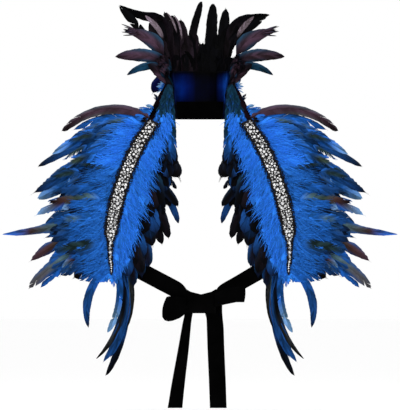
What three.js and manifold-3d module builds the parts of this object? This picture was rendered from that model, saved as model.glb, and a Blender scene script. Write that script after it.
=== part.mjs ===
// A feather cape: a standing collar that is open at the front, a feathered wing over each
// shoulder with a rhinestone trim down its seam, and velvet ribbons tied in a bow under the chest.
//
// Millimetres, +Z up. The wearer faces -Y, and left and right are as seen from the front.
// The origin is the middle of the collar's lower edge, where the cape sits on the neck.
import * as THREE from "three";
import { mergeVertices } from "three/addons/utils/BufferGeometryUtils.js";
import Module from "manifold-3d";

const { degToRad, lerp, smoothstep, clamp } = THREE.MathUtils;
const wasm = await Module();
wasm.setup();

// Driving dimensions

const CLOTH = 2; // stiffened cloth and feather tapes
const RIBBON = 1.2; // velvet ribbon, thickness
const RIBBON_WIDTH = 32;
const GAP = 0.4; // between pieces that are sewn together

// The collar band: an oval that widens upwards and stops short of the front.
const COLLAR = {
  height: 92,
  halfWidth: 58,
  halfDepth: 55,
  flare: 9, // how much wider the upper edge stands, on each side
  facet: 13, // degrees of the oval to each flat
  facets: 10, // on each side of the middle of the back
};
const NECK_RIBBON = { low: 1, high: 34 };

// The seam of the left wing, from the collar's front edge to the foot of the wing and on below
// it, where only the hanging feathers follow its depth. outer and inner are how far the base
// reaches to each side of the seam, and trim is half the trim's width.
const SEAM = [
  { x: -63, y: -32.8, z: 62, outer: 7, inner: 13, trim: 0 },
  { x: -75, y: -43, z: 30, outer: 11, inner: 14, trim: 0 },
  { x: -91, y: -62, z: -8, outer: 15, inner: 15, trim: 9.5 },
  { x: -118, y: -86, z: -51, outer: 17, inner: 17, trim: 11 },
  { x: -143, y: -105, z: -109, outer: 18, inner: 18, trim: 11.5 },
  { x: -160, y: -113, z: -165, outer: 18, inner: 18, trim: 12.5 },
  { x: -169, y: -110, z: -218, outer: 17, inner: 17, trim: 10.5 },
  { x: -170, y: -98, z: -260, outer: 15, inner: 15, trim: 5 },
  { x: -168, y: -84, z: -296, outer: 12, inner: 12, trim: 4 },
  { x: -168, y: -78, z: -360, outer: 0, inner: 0, trim: 0 },
  { x: -168, y: -76, z: -500, outer: 0, inner: 0, trim: 0 },
];
const SEAM_TOP = 62;
const SEAM_FOOT = -296;

// Everything that runs along the seam is cut at the same stations, which count from its top.
const STATIONS = 16;
const STATION = {
  outer: { from: 3, to: STATIONS },
  inner: { from: 0, to: 13 },
  outerCover: { from: 3, to: STATIONS },
  innerCover: { from: 1, to: 14 },
  under: { from: 4, to: 9 },
  tail: { from: 13, to: STATIONS },
  trim: { from: 3, to: STATIONS },
};

// How the wing bends back on each side of its seam: slope far out, and how gently it starts.
const WRAP = { outer: { slope: 0.55, ease: 80 }, inner: { slope: 0.2, ease: 60 } };
// Near the collar the wing's strap leans with it: slope at its top, reach across, and where it ends.
const LEAN = { slope: 0.4, reach: 40, foot: -30 };

// A feather's width along its length, as shares of both.
const LONG_OUTLINE = [
  { along: 0, width: 0.3 },
  { along: 0.1, width: 0.62 },
  { along: 0.325, width: 0.94 },
  { along: 0.625, width: 1 },
  { along: 0.85, width: 0.64 },
  { along: 1, width: 0 },
];
const SHORT_OUTLINE = [
  { along: 0, width: 0.42 },
  { along: 0.25, width: 0.9 },
  { along: 0.55, width: 1 },
  { along: 0.825, width: 0.68 },
  { along: 1, width: 0 },
];
const RIDGE_SHARE = 0.085; // a feather's height at its shaft, as a share of its width

// The wing's layers. tape and blade are heights forwards from the back of the base, root and
// reach are distances from the seam to the feathers' roots and to the tape's far edge. Past the
// tape, feathers rise, and every other one lies one shingle higher.
const LAYER = {
  tail: { tape: -5, reach: 13, root: 8, blade: -4.6, rise: -2.6, shingle: -2.2, outline: LONG_OUTLINE },
  under: { tape: -2.6, reach: 13, root: 8, blade: -1.9, rise: -2.4, shingle: -2, outline: LONG_OUTLINE },
  long: { tape: 2.4, reach: 13, root: 8, blade: 3.4, rise: 0, shingle: 3.2, outline: LONG_OUTLINE },
  cover: { tape: 6.5, reach: 17, root: 14, blade: 7.1, rise: 5, shingle: 3, outline: SHORT_OUTLINE },
};
const TRIM_HEIGHT = 9.1; // back of the trim's band
const TAPE_FROM = 1; // the two tapes of a layer stay this far from the seam
const LIFT = 15; // distance past the tape in which feathers rise

// Long feathers of the left wing: z of the root on the seam, place of the tip in the front
// view, bow as the degrees that the feather turns (anticlockwise is positive), and width.
const OUTER_FEATHERS = [
  { z: -2, tipX: -262, tipZ: -25, bow: 78, width: 19 },
  { z: -10, tipX: -238, tipZ: -20, bow: 52, width: 26 },
  { z: -25, tipX: -281, tipZ: -68, bow: 42, width: 27 },
  { z: -38, tipX: -306, tipZ: -91, bow: 34, width: 24 },
  { z: -57, tipX: -289, tipZ: -118, bow: 28, width: 28 },
  { z: -74, tipX: -312, tipZ: -139, bow: 22, width: 27 },
  { z: -93, tipX: -306, tipZ: -156, bow: 17, width: 28 },
  { z: -110, tipX: -309, tipZ: -182, bow: 14, width: 28 },
  { z: -129, tipX: -294, tipZ: -198, bow: 8, width: 28 },
  { z: -150, tipX: -375, tipZ: -218, bow: -16, width: 22 },
  { z: -169, tipX: -293, tipZ: -243, bow: 14, width: 28 },
  { z: -188, tipX: -321, tipZ: -268, bow: 16, width: 25 },
  { z: -207, tipX: -288, tipZ: -275, bow: 18, width: 28 },
  { z: -226, tipX: -325, tipZ: -321, bow: 30, width: 23 },
  { z: -241, tipX: -300, tipZ: -319, bow: 38, width: 25 },
  { z: -256, tipX: -262, tipZ: -298, bow: 20, width: 28 },
  { z: -271, tipX: -236, tipZ: -308, bow: 26, width: 25 },
  { z: -284, tipX: -211, tipZ: -393, bow: 44, width: 17 },
];
const INNER_FEATHERS = [
  { z: 55, tipX: -46, tipZ: -14, bow: -8, width: 15 },
  { z: 40, tipX: -41, tipZ: -46, bow: -14, width: 22 },
  { z: 20, tipX: -42, tipZ: -67, bow: -20, width: 27 },
  { z: -2, tipX: -47, tipZ: -86, bow: -26, width: 29 },
  { z: -21, tipX: -56, tipZ: -112, bow: -30, width: 29 },
  { z: -40, tipX: -65, tipZ: -136, bow: -30, width: 29 },
  { z: -63, tipX: -75, tipZ: -163, bow: -30, width: 29 },
  { z: -85, tipX: -80, tipZ: -192, bow: -30, width: 29 },
  { z: -110, tipX: -84, tipZ: -216, bow: -30, width: 29 },
  { z: -135, tipX: -91, tipZ: -240, bow: -30, width: 29 },
  { z: -161, tipX: -97, tipZ: -272, bow: -32, width: 28 },
  { z: -188, tipX: -106, tipZ: -300, bow: -34, width: 27 },
  { z: -213, tipX: -117, tipZ: -328, bow: -36, width: 25 },
];
const UNDER_FEATHERS = [
  { z: -40, tipX: -32, tipZ: -91, bow: -34, width: 25 },
  { z: -66, tipX: -44, tipZ: -133, bow: -20, width: 13 },
  { z: -84, tipX: -41, tipZ: -198, bow: -46, width: 15 },
  { z: -108, tipX: -59, tipZ: -226, bow: -38, width: 23 },
  { z: -128, tipX: -72, tipZ: -237, bow: -36, width: 21 },
];
const TAIL_FEATHERS = [
  { z: -228, tipX: -131, tipZ: -388, bow: -52, width: 23 },
  { z: -240, tipX: -179, tipZ: -486, bow: -66, width: 17 },
  { z: -251, tipX: -196, tipZ: -456, bow: -74, width: 14 },
  { z: -262, tipX: -182, tipZ: -460, bow: -66, width: 16 },
  { z: -274, tipX: -175, tipZ: -405, bow: -60, width: 17 },
];

// Cover feathers, spread evenly between the rows: angle is their way out in the front view.
const OUTER_COVER = {
  count: 10,
  rows: [
    { z: -14, angle: 158, bow: 34, length: 72, width: 34 },
    { z: -120, angle: 184, bow: 16, length: 88, width: 38 },
    { z: -210, angle: 196, bow: 12, length: 84, width: 38 },
    { z: -278, angle: 206, bow: 20, length: 58, width: 32 },
  ],
};
const INNER_COVER = {
  count: 8,
  rows: [
    { z: 34, angle: 304, bow: -24, length: 44, width: 22 },
    { z: -40, angle: 318, bow: -36, length: 60, width: 32 },
    { z: -150, angle: 322, bow: -34, length: 62, width: 36 },
    { z: -250, angle: 306, bow: -30, length: 70, width: 30 },
  ],
};

// Tall feathers round the back of the collar: angle of the root from the middle of the back,
// place of the tip in the front view, and width.
const BACK_FEATHERS = [
  { angle: -90, tipX: -154, tipZ: 217, width: 17 },
  { angle: -82, tipX: -118, tipZ: 176, width: 17 },
  { angle: -66, tipX: -92, tipZ: 196, width: 22 },
  { angle: -50, tipX: -63, tipZ: 206, width: 24 },
  { angle: -38, tipX: -46, tipZ: 198, width: 22 },
  { angle: -26, tipX: -28, tipZ: 180, width: 24 },
  { angle: -14, tipX: 3, tipZ: 222, width: 14 },
  { angle: -2, tipX: 6, tipZ: 146, width: 26 },
  { angle: 14, tipX: 25, tipZ: 218, width: 22 },
  { angle: 30, tipX: 50, tipZ: 209, width: 20 },
  { angle: 46, tipX: 66, tipZ: 186, width: 24 },
  { angle: 62, tipX: 84, tipZ: 172, width: 22 },
  { angle: 78, tipX: 106, tipZ: 182, width: 17 },
  { angle: 90, tipX: 131, tipZ: 201, width: 17 },
];
const CROWN = { top: 217, halfWidth: 160, halfDepth: 112, power: 1.5 }; // how far the tips flare

// Feather tapes on the collar: heights, and how far from the band feathers are sewn in (sewn) and
// stand (proud), with every other one a shingle further out.
const COLLAR_TAPE_FACETS = 7; // how far round the tapes reach, on each side
const BACK_TAPE = { low: 34, root: 40, high: 48, sewn: 1.6, proud: 2.8, shingle: 2.4 };
const COVER_TAPE = { low: 2, root: 7, high: 12, sewn: 1.6, proud: 7.5, shingle: 2.6 };
// A tall feather stands upright for a share of the band's height, and its bend is a share of the
// way up from the band to its tip, where it has turned a share of the way round to it.
const BACK_CURVE = { upright: 0.8, bend: 0.45, turned: 0.35 };
const COLLAR_COVER = { count: 10, halfAngle: 72, tipZ: 118, width: 28 };
// Cover feathers on the collar lean out a little between two shares of their height, and their
// tips lean out far.
const COVER_CURVE = { low: 0.3, high: 0.7, lean: 3, tipLean: 30 };

// Feathers that flare sideways from the collar's left front end: height of the root and its
// distance from the band, and place of the tip. bow is how far the feather arches over the
// straight line to its tip.
const FLARE_FEATHERS = [
  { z: 87, root: 4.2, tipX: -143, tipY: -40, tipZ: 172, bow: -12, width: 20 },
  { z: 83, root: 3.4, tipX: -161, tipY: -47, tipZ: 119, bow: 16, width: 24 },
  { z: 78, root: 2.6, tipX: -139, tipY: -48, tipZ: 84, bow: 20, width: 15 },
];
// On the left one more hangs beside them.
const HANGING_FEATHER = { z: 81, root: 3.2, tipX: -84, tipY: -17, tipZ: 50, bow: 6, width: 22 };
const FLARE_TAPE = { from: 8, to: 10, low: 73, high: 91 }; // facets of the collar, and heights

// Stones of the trim: cut octagons that stand on the band, to the left and right of its middle.
const STONE = { across: 9, height: 2.8, table: 0.56, pitch: 12.5, offset: 4.8, sides: 8 };

// Ribbons, by their middle line in the front view and their depth. turn is the direction of the
// ribbon's width there, in degrees from +X. Where a row is sewn, it lies behind the wing's base.
const LEFT_SASH = [
  { x: -166, z: -260, turn: 62, width: RIBBON_WIDTH, sewn: true },
  { x: -138, z: -275, turn: 62, width: RIBBON_WIDTH, sewn: true },
  { x: -112, y: -77, z: -289, turn: 62, width: RIBBON_WIDTH },
  { x: -74, y: -86, z: -309, turn: 62, width: RIBBON_WIDTH },
  { x: -44, y: -96, z: -326, turn: 68, width: 31 },
  { x: -27.8, y: -100, z: -341, turn: 90, width: 26 },
];
const RIGHT_SASH = [
  { x: 166, z: -260, turn: 118, width: RIBBON_WIDTH, sewn: true },
  { x: 138, z: -275, turn: 118, width: RIBBON_WIDTH, sewn: true },
  { x: 112, y: -77, z: -290, turn: 119, width: 31 },
  { x: 74, y: -86, z: -312, turn: 119, width: 30 },
  { x: 46, y: -96, z: -328, turn: 112, width: 30 },
  { x: 31.5, y: -100, z: -341, turn: 90, width: 26 },
];
const LEFT_TIE_END = [
  { x: -18, y: -100, z: -369.4, turn: 0, width: 16 },
  { x: -22, y: -97, z: -392, turn: 5, width: 18 },
  { x: -31, y: -94, z: -440, turn: 4, width: 23 },
  { x: -40, y: -96, z: -500, turn: 2, width: 26 },
  { x: -48, y: -93, z: -549, turn: 0, width: 28 },
];
const RIGHT_TIE_END = [
  { x: 18, y: -100, z: -369.4, turn: 0, width: 26 },
  { x: 29, y: -96, z: -392, turn: -3, width: 30 },
  { x: 31, y: -98, z: -440, turn: -3, width: 31 },
  { x: 34, y: -95, z: -500, turn: -1, width: RIBBON_WIDTH },
  { x: 35, y: -97, z: -549, turn: 0, width: RIBBON_WIDTH },
];
const SEWN_GAP = 0.6; // from a sewn ribbon to the base
const RIBBON_CROWN = 0.8; // how far the middle of a free ribbon stands forward of its edges
const KNOT = { x: 2, y: -100, z: -348, halfWidth: 28, halfHeight: 21, halfDepth: 10 };
// The knot's folds: points round it, upright creases and their depth, and how far its waist draws in.
const KNOT_FOLDS = { around: 24, creases: 12, crease: 1.2, waist: 0.14 };
// Bow loops: a ribbon that goes out from the knot, folds and comes back. depth is how far it
// opens, and droop how far it hangs below level, in degrees.
const LEFT_LOOP = { x: -26.2, y: -106, z: -354, side: -1, length: 44, depth: 15, droop: 14, width: 36 };
const RIGHT_LOOP = { x: 27.6, y: -106, z: -347, side: 1, length: 53, depth: 13, droop: -9, width: 31 };
const LOOP_MOUTH = 0.95; // half the distance between the two ends of a loop
const LOOP_GATHER = 0.66; // a loop's width at the knot, as a share of its full width
const LOOP_FULL_AT = 0.6; // share of its length at which it has its full width

// Fineness

const SEAM_SAMPLES = 220; // points of the seam's curve
const FEATHER_PARTS = 40; // steps along a feather's arc
const LOOP_PARTS = 20; // steps round a loop
const WELD = 1e-4; // points closer than this are one
const SMALLEST_STEP = 0.1; // what a join leaves is simplified up to this size
const THINNEST = 0.06; // triangles lower than this are mended,
const SHORTEST = 0.3; // by closing their short edge where it is below this

// Materials

function material(color, roughness, metalness = 0) {
  return new THREE.MeshStandardMaterial({ color, roughness, metalness });
}

const satin = material(0x0a1648, 0.35);
const velvet = material(0x060607, 0.9);
const blueFeather = material(0x1c55c8, 0.6);
const tealFeather = material(0x1d3f63, 0.55);
const plumFeather = material(0x1d141b, 0.5);
const rhinestone = material(0xd8d8de, 0.1, 0.9);

// Solids from sections

// A closed geometry from points and triangles, turned so that its faces point out.
function closedGeometry(points, triangles) {
  let sixVolumes = 0;
  const cross = new THREE.Vector3();
  for (const [a, b, c] of triangles) {
    sixVolumes += points[a].dot(cross.crossVectors(points[b], points[c]));
  }
  const facing = sixVolumes < 0 ? triangles.map(([a, b, c]) => [a, c, b]) : triangles;
  const geometry = new THREE.BufferGeometry().setFromPoints(points);
  return geometry.setIndex(facing.flat());
}

// A wall between two grids of points with the same rows and columns.
function wall(front, back) {
  const rows = front.length;
  const columns = front[0].length;
  const points = [...front.flat(), ...back.flat()];
  const ahead = (i, j) => i * columns + j;
  const behind = (i, j) => rows * columns + i * columns + j;
  const triangles = [];
  const quad = (a, b, c, d) => triangles.push([a, b, c], [a, c, d]);
  for (let i = 0; i + 1 < rows; i++) {
    for (let j = 0; j + 1 < columns; j++) {
      quad(ahead(i, j), ahead(i + 1, j), ahead(i + 1, j + 1), ahead(i, j + 1));
      quad(behind(i, j), behind(i, j + 1), behind(i + 1, j + 1), behind(i + 1, j));
    }
  }
  for (let i = 0; i + 1 < rows; i++) {
    const last = columns - 1;
    quad(ahead(i, 0), behind(i, 0), behind(i + 1, 0), ahead(i + 1, 0));
    quad(ahead(i, last), ahead(i + 1, last), behind(i + 1, last), behind(i, last));
  }
  for (let j = 0; j + 1 < columns; j++) {
    const last = rows - 1;
    quad(ahead(0, j), ahead(0, j + 1), behind(0, j + 1), behind(0, j));
    quad(ahead(last, j), behind(last, j), behind(last, j + 1), ahead(last, j + 1));
  }
  return closedGeometry(points, triangles);
}

function middle(points) {
  return points.reduce((sum, point) => sum.add(point), new THREE.Vector3()).divideScalar(points.length);
}

// Two triangles of a twisted quad, along the diagonal that lies further from the centre.
function outerSplit(points, [a, b, c, d], centre) {
  const first = middle([points[a], points[c]]);
  const second = middle([points[b], points[d]]);
  const across = points[c].clone().sub(points[a]);
  const out = across.cross(points[d].clone().sub(points[b]));
  const away = middle([first, second]).sub(centre).dot(out);
  const apart = first.sub(second).dot(out);
  return away * apart > 0 ? [[a, b, c], [a, c, d]] : [[a, b, d], [b, c, d]];
}

// A feather as a thin three-sided blade: each section has a left edge, a shaft and a right
// edge, and the last one is the tip alone.
function blade(sections) {
  const points = sections.flatMap((s) => (s.tip ? [s.tip] : [s.left, s.shaft, s.right]));
  const triangles = [[0, 1, 2]];
  const last = sections.length - 2;
  for (let i = 0; i < last; i++) {
    const centre = middle(points.slice(3 * i, 3 * i + 6));
    for (let side = 0; side < 3; side++) {
      const a = 3 * i + side;
      const b = 3 * i + ((side + 1) % 3);
      triangles.push(...outerSplit(points, [a, a + 3, b + 3, b], centre));
    }
  }
  const tip = points.length - 1;
  for (let side = 0; side < 3; side++) {
    triangles.push([3 * last + side, tip, 3 * last + ((side + 1) % 3)]);
  }
  return closedGeometry(points, triangles);
}

function solid(geometry) {
  const bare = new THREE.BufferGeometry();
  bare.setAttribute("position", geometry.getAttribute("position"));
  bare.setIndex(geometry.index);
  const merged = mergeVertices(bare, WELD);
  return new wasm.Manifold(
    new wasm.Mesh({
      numProp: 3,
      vertProperties: merged.getAttribute("position").array,
      triVerts: new Uint32Array(merged.index.array),
    }),
  );
}

// A flat list of numbers in threes.
function threes(values) {
  return Array.from({ length: values.length / 3 }, (_, i) => [...values.slice(3 * i, 3 * i + 3)]);
}

// A triangle's corners from the one opposite its longest edge, and its height over that edge.
function tallest(points, [a, b, c]) {
  const length = (i, j) => points[i].distanceTo(points[j]);
  const turns = [[a, b, c], [b, c, a], [c, a, b]];
  const longest = Math.max(...turns.map(([, from, to]) => length(from, to)));
  const [top, from, to] = turns.find((turn) => length(turn[1], turn[2]) === longest);
  const area = new THREE.Triangle(points[top], points[from], points[to]).getArea();
  return { top, from, to, height: (2 * area) / longest };
}

// Swaps the long edge of a sliver for the other diagonal, unless that edge is there already.
function flipEdge(triangles, sliver, { top, from, to }) {
  const other = triangles.findIndex((t) => t.some((corner, k) => corner === to && t[(k + 1) % 3] === from));
  const far = triangles[other].find((corner) => corner !== from && corner !== to);
  if (triangles.some((t) => t.includes(top) && t.includes(far))) return;
  triangles[sliver] = [top, from, far];
  triangles[other] = [top, far, to];
}

// Draws a short edge together to one of its ends, where that leaves the surface closed.
function closeEdge(triangles, gone, kept) {
  const round = (corner) => new Set(triangles.filter((t) => t.includes(corner)).flat());
  const beside = round(kept);
  if ([...round(gone)].filter((corner) => beside.has(corner)).length !== 4) return null;
  const moved = triangles.map((t) => t.map((corner) => (corner === gone ? kept : corner)));
  return moved.filter((t) => new Set(t).size === 3);
}

// Mends the slivers that a join leaves where feathers cross at a grazing angle.
function withoutSlivers(points, triangles) {
  let mended = triangles;
  const left = new Set();
  for (;;) {
    const shapes = mended.map((t) => tallest(points, t));
    const sliver = shapes.findIndex((shape, i) => shape.height < THINNEST && !left.has(mended[i].join()));
    if (sliver < 0) return mended;
    left.add(mended[sliver].join());
    const { top, from, to } = shapes[sliver];
    const near = points[top].distanceTo(points[from]) < points[top].distanceTo(points[to]) ? from : to;
    const short = points[top].distanceTo(points[near]) < SHORTEST;
    const closed = short ? closeEdge(mended, top, near) : null;
    if (closed) mended = closed;
    else flipEdge(mended, sliver, shapes[sliver]);
  }
}

// Joins solids into one body. Pockets that the join closes off between feathers are filled.
function fuse(geometries) {
  const joined = wasm.Manifold.union(geometries.map(solid)).asOriginal().simplify(SMALLEST_STEP);
  const shells = joined.decompose();
  const body = shells.reduce((largest, shell) => (shell.volume() > largest.volume() ? shell : largest));
  const { vertProperties, triVerts } = body.getMesh();
  const points = threes(vertProperties).map((place) => new THREE.Vector3(...place));
  const whole = closedGeometry(points, withoutSlivers(points, threes(triVerts)));
  return mergeVertices(whole.toNonIndexed(), WELD);
}

function piece(name, geometry, look) {
  const mesh = new THREE.Mesh(geometry, look);
  mesh.name = name;
  return mesh;
}

function steps(count, from, to) {
  return Array.from({ length: count + 1 }, (_, i) => lerp(from, to, i / count));
}

// One column of a table whose rows run down in z.
function columnAt(rows, z, key) {
  if (z >= rows[0].z) return rows[0][key];
  const below = rows.findIndex((row) => row.z <= z);
  if (below < 0) return rows[rows.length - 1][key];
  const [a, b] = [rows[below - 1], rows[below]];
  return lerp(a[key], b[key], (a.z - z) / (a.z - b.z));
}

// The wing's surface

const seamCurve = new THREE.CatmullRomCurve3(SEAM.map((row) => new THREE.Vector3(row.x, row.y, row.z)));
const seamPoints = seamCurve.getPoints(SEAM_SAMPLES);

// Place on the seam at a height, with the way out across it in the front view.
function seamAt(z) {
  const x = columnAt(seamPoints, z, "x");
  const y = columnAt(seamPoints, z, "y");
  const near = 2;
  const rise = columnAt(seamPoints, z - near, "x") - columnAt(seamPoints, z + near, "x");
  const out = new THREE.Vector2(-1, -rise / (2 * near)).normalize();
  return { x, y, z, out };
}

function bend(reach, { slope, ease }) {
  return (slope * reach * reach) / (reach + ease);
}

// Depth of the base's back face in the front view.
function wingDepth(x, z) {
  const seam = seamAt(z);
  const out = seam.x - x;
  const lean = LEAN.slope * smoothstep(z, LEAN.foot, SEAM_TOP);
  const onCollar = lean * LEAN.reach * Math.tanh(out / LEAN.reach);
  return seam.y + onCollar + bend(Math.abs(out), out > 0 ? WRAP.outer : WRAP.inner);
}

function wingPoint(x, z, height) {
  return new THREE.Vector3(x, wingDepth(x, z) - height, z);
}

function seamDistance(x, z) {
  const seam = seamAt(z);
  return Math.abs((seam.x - x) * seam.out.x);
}

function stationZ(station) {
  return lerp(SEAM_TOP, SEAM_FOOT, station / STATIONS);
}

// A strip along the seam from its back's height. edges gives its lines, as distances out from the
// seam, at a height.
function seamStrip({ from, to }, edges, low) {
  const grid = (height) =>
    steps(to - from, from, to).map((station) => {
      const seam = seamAt(stationZ(station));
      const place = (d) => wingPoint(seam.x + d * seam.out.x, seam.z + d * seam.out.y, height);
      return edges(seam.z).map(place);
    });
  return wall(grid(low + CLOTH), grid(low));
}

// Height of a feather layer at a place.
function layerHeight({ reach, blade: flat, rise, shingle }, x, z, odd) {
  const lifted = smoothstep(seamDistance(x, z), reach, reach + LIFT);
  return flat + lifted * (rise + (odd ? shingle : 0));
}

// A feather that lies on a layer of the wing, along an arc in the front view.
function wingFeather({ x, z, angle, bow, length, width }, layer, odd) {
  const step = length / FEATHER_PARTS;
  const turn = bow / FEATHER_PARTS;
  let [px, pz] = [x, z];
  const line = [{ x: px, z: pz, angle }];
  for (let i = 0; i < FEATHER_PARTS; i++) {
    const heading = degToRad(angle + turn * (i + 0.5));
    px += step * Math.cos(heading);
    pz += step * Math.sin(heading);
    line.push({ x: px, z: pz, angle: angle + turn * (i + 1) });
  }
  const on = (sx, sz) => wingPoint(sx, sz, layerHeight(layer, sx, sz, odd));
  return blade(
    layer.outline.map(({ along, width: share }) => {
      const at = line[Math.round(along * FEATHER_PARTS)];
      if (share === 0) return { tip: on(at.x, at.z) };
      const half = (share * width) / 2;
      const sx = -Math.sin(degToRad(at.angle)) * half;
      const sz = Math.cos(degToRad(at.angle)) * half;
      const left = on(at.x + sx, at.z + sz);
      const right = on(at.x - sx, at.z - sz);
      const shaft = on(at.x, at.z);
      shaft.y = Math.min(shaft.y, (left.y + right.y) / 2) - RIDGE_SHARE * share * width;
      return { left, shaft, right };
    }),
  );
}

// Turns a table row with a tip into an arc that starts on the tape.
function toTip({ z, tipX, tipZ, bow, width }, side, layer) {
  const seam = seamAt(z);
  const x = seam.x + side * layer.root * seam.out.x;
  const rootZ = z + side * layer.root * seam.out.y;
  const chord = Math.hypot(tipX - x, tipZ - rootZ);
  const toward = THREE.MathUtils.radToDeg(Math.atan2(tipZ - rootZ, tipX - x));
  const half = degToRad(bow / 2);
  return { x, z: rootZ, angle: toward - bow / 2, bow, length: (chord * half) / Math.sin(half), width };
}

const OUT = 1;
const IN = -1;

// A row of feathers on its own tape along the seam.
function featherRow(feathers, side, layer, stations) {
  const tape = seamStrip(stations, () => [side * TAPE_FROM, side * layer.reach], layer.tape);
  return fuse([tape, ...feathers.map((feather, i) => wingFeather(feather, layer, i % 2 === 1))]);
}

function longRow(table, side, layer, stations) {
  const feathers = table.map((row) => toTip(row, side, layer));
  return featherRow(feathers, side, layer, stations);
}

function coverRow({ count, rows }, side, stations) {
  const feathers = steps(count - 1, rows[0].z, rows[rows.length - 1].z).map((z) => {
    const seam = seamAt(z);
    const read = (key) => columnAt(rows, z, key);
    return {
      x: seam.x + side * LAYER.cover.root * seam.out.x,
      z: z + side * LAYER.cover.root * seam.out.y,
      angle: read("angle"),
      bow: read("bow"),
      length: read("length"),
      width: read("width"),
    };
  });
  return featherRow(feathers, side, LAYER.cover, stations);
}

function wingBase() {
  const edges = (z) => [columnAt(SEAM, z, "outer"), 0, -columnAt(SEAM, z, "inner")];
  return seamStrip({ from: 0, to: STATIONS }, edges, 0);
}

// An octagonal stone with a flat table, standing on the trim.
function stone(x, z, size) {
  const { height, table, sides } = STONE;
  const low = TRIM_HEIGHT + CLOTH / 2;
  const depth = wingDepth(x, z);
  const slopeX = (wingDepth(x + 1, z) - wingDepth(x - 1, z)) / 2;
  const slopeZ = (wingDepth(x, z + 1) - wingDepth(x, z - 1)) / 2;
  const ring = (share, up) =>
    steps(sides - 1, 0, 2 * Math.PI * (1 - 1 / sides)).map((turn) => {
      const dx = (size / 2) * share * Math.cos(turn);
      const dz = (size / 2) * share * Math.sin(turn);
      return new THREE.Vector3(x + dx, depth + slopeX * dx + slopeZ * dz - up, z + dz);
    });
  const points = [...ring(1, low), ...ring(table, TRIM_HEIGHT + CLOTH + height)];
  const triangles = [];
  for (let i = 0; i < sides; i++) {
    const next = (i + 1) % sides;
    triangles.push([i, next, next + sides], [i, next + sides, i + sides]);
  }
  for (let i = 1; i + 1 < sides; i++) {
    triangles.push([0, i + 1, i], [sides, sides + i, sides + i + 1]);
  }
  return closedGeometry(points, triangles);
}

function trimBand() {
  const half = (z) => columnAt(SEAM, z, "trim");
  const band = seamStrip(STATION.trim, (z) => [half(z), 0, -half(z)], TRIM_HEIGHT);
  const [top, foot] = [stationZ(STATION.trim.from) - STONE.pitch / 2, SEAM_FOOT + STONE.pitch / 2];
  const stones = steps(Math.floor((top - foot) / STONE.pitch), top, foot).map((z, i) => {
    const seam = seamAt(z);
    const size = Math.min(STONE.across, 2 * half(z) - 1);
    const shift = clamp(half(z) - size / 2, 0, STONE.offset) * (i % 2 === 0 ? OUT : IN);
    return stone(seam.x + shift * seam.out.x, z + shift * seam.out.y, size);
  });
  return fuse([band, ...stones]);
}

// Geometry and material of each piece of the left wing.
function wingPieces() {
  const { tail, under, long } = LAYER;
  return {
    wing_base: [wingBase(), velvet],
    outer_feathers: [longRow(OUTER_FEATHERS, OUT, long, STATION.outer), blueFeather],
    inner_feathers: [longRow(INNER_FEATHERS, IN, long, STATION.inner), blueFeather],
    outer_cover: [coverRow(OUTER_COVER, OUT, STATION.outerCover), blueFeather],
    inner_cover: [coverRow(INNER_COVER, IN, STATION.innerCover), blueFeather],
    under_feathers: [longRow(UNDER_FEATHERS, IN, under, STATION.under), plumFeather],
    tail_feathers: [longRow(TAIL_FEATHERS, IN, tail, STATION.tail), tealFeather],
    trim: [trimBand(), rhinestone],
  };
}

// The collar

// Half width and half depth of the collar's outside at a height; the crown is above the band.
function collarSize(z) {
  const up = clamp(z / COLLAR.height, 0, 1);
  const width = COLLAR.halfWidth + COLLAR.flare * up;
  const depth = COLLAR.halfDepth + COLLAR.flare * up;
  if (z <= COLLAR.height) return { width, depth };
  const share = ((z - COLLAR.height) / (CROWN.top - COLLAR.height)) ** CROWN.power;
  return { width: lerp(width, CROWN.halfWidth, share), depth: lerp(depth, CROWN.halfDepth, share) };
}

function collarPoint(angle, z, out) {
  const { width, depth } = collarSize(z);
  const turn = degToRad(angle);
  return new THREE.Vector3((width + out) * Math.sin(turn), (depth + out) * Math.cos(turn), z);
}

function collarWall(angles, zs, inner, outer) {
  const grid = (out) => zs.map((z) => angles.map((angle) => collarPoint(angle, z, out)));
  return wall(grid(outer), grid(inner));
}

// Angles of the collar's facet edges, so that what lies on the band has the same flats.
function facetAngles(from, to) {
  return steps(Math.abs(to - from), from * COLLAR.facet, to * COLLAR.facet);
}

// A feather along a curve, with its shaft's ridge towards a given side.
function freeFeather(curve, width, facing) {
  return blade(
    SHORT_OUTLINE.map(({ along, width: share }) => {
      const at = curve.getPoint(along);
      if (share === 0) return { tip: at };
      const tangent = curve.getTangent(along);
      const front = facing(at);
      const across = new THREE.Vector3().crossVectors(tangent, front).normalize();
      const ridge = new THREE.Vector3().crossVectors(across, tangent).normalize();
      const half = (share * width) / 2;
      return {
        left: at.clone().addScaledVector(across, half),
        shaft: at.clone().addScaledVector(ridge, RIDGE_SHARE * share * width),
        right: at.clone().addScaledVector(across, -half),
      };
    }),
  );
}

const outwards = (at) => new THREE.Vector3(at.x, at.y, 0).normalize();
const forwards = () => new THREE.Vector3(0, -1, 0);

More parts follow.
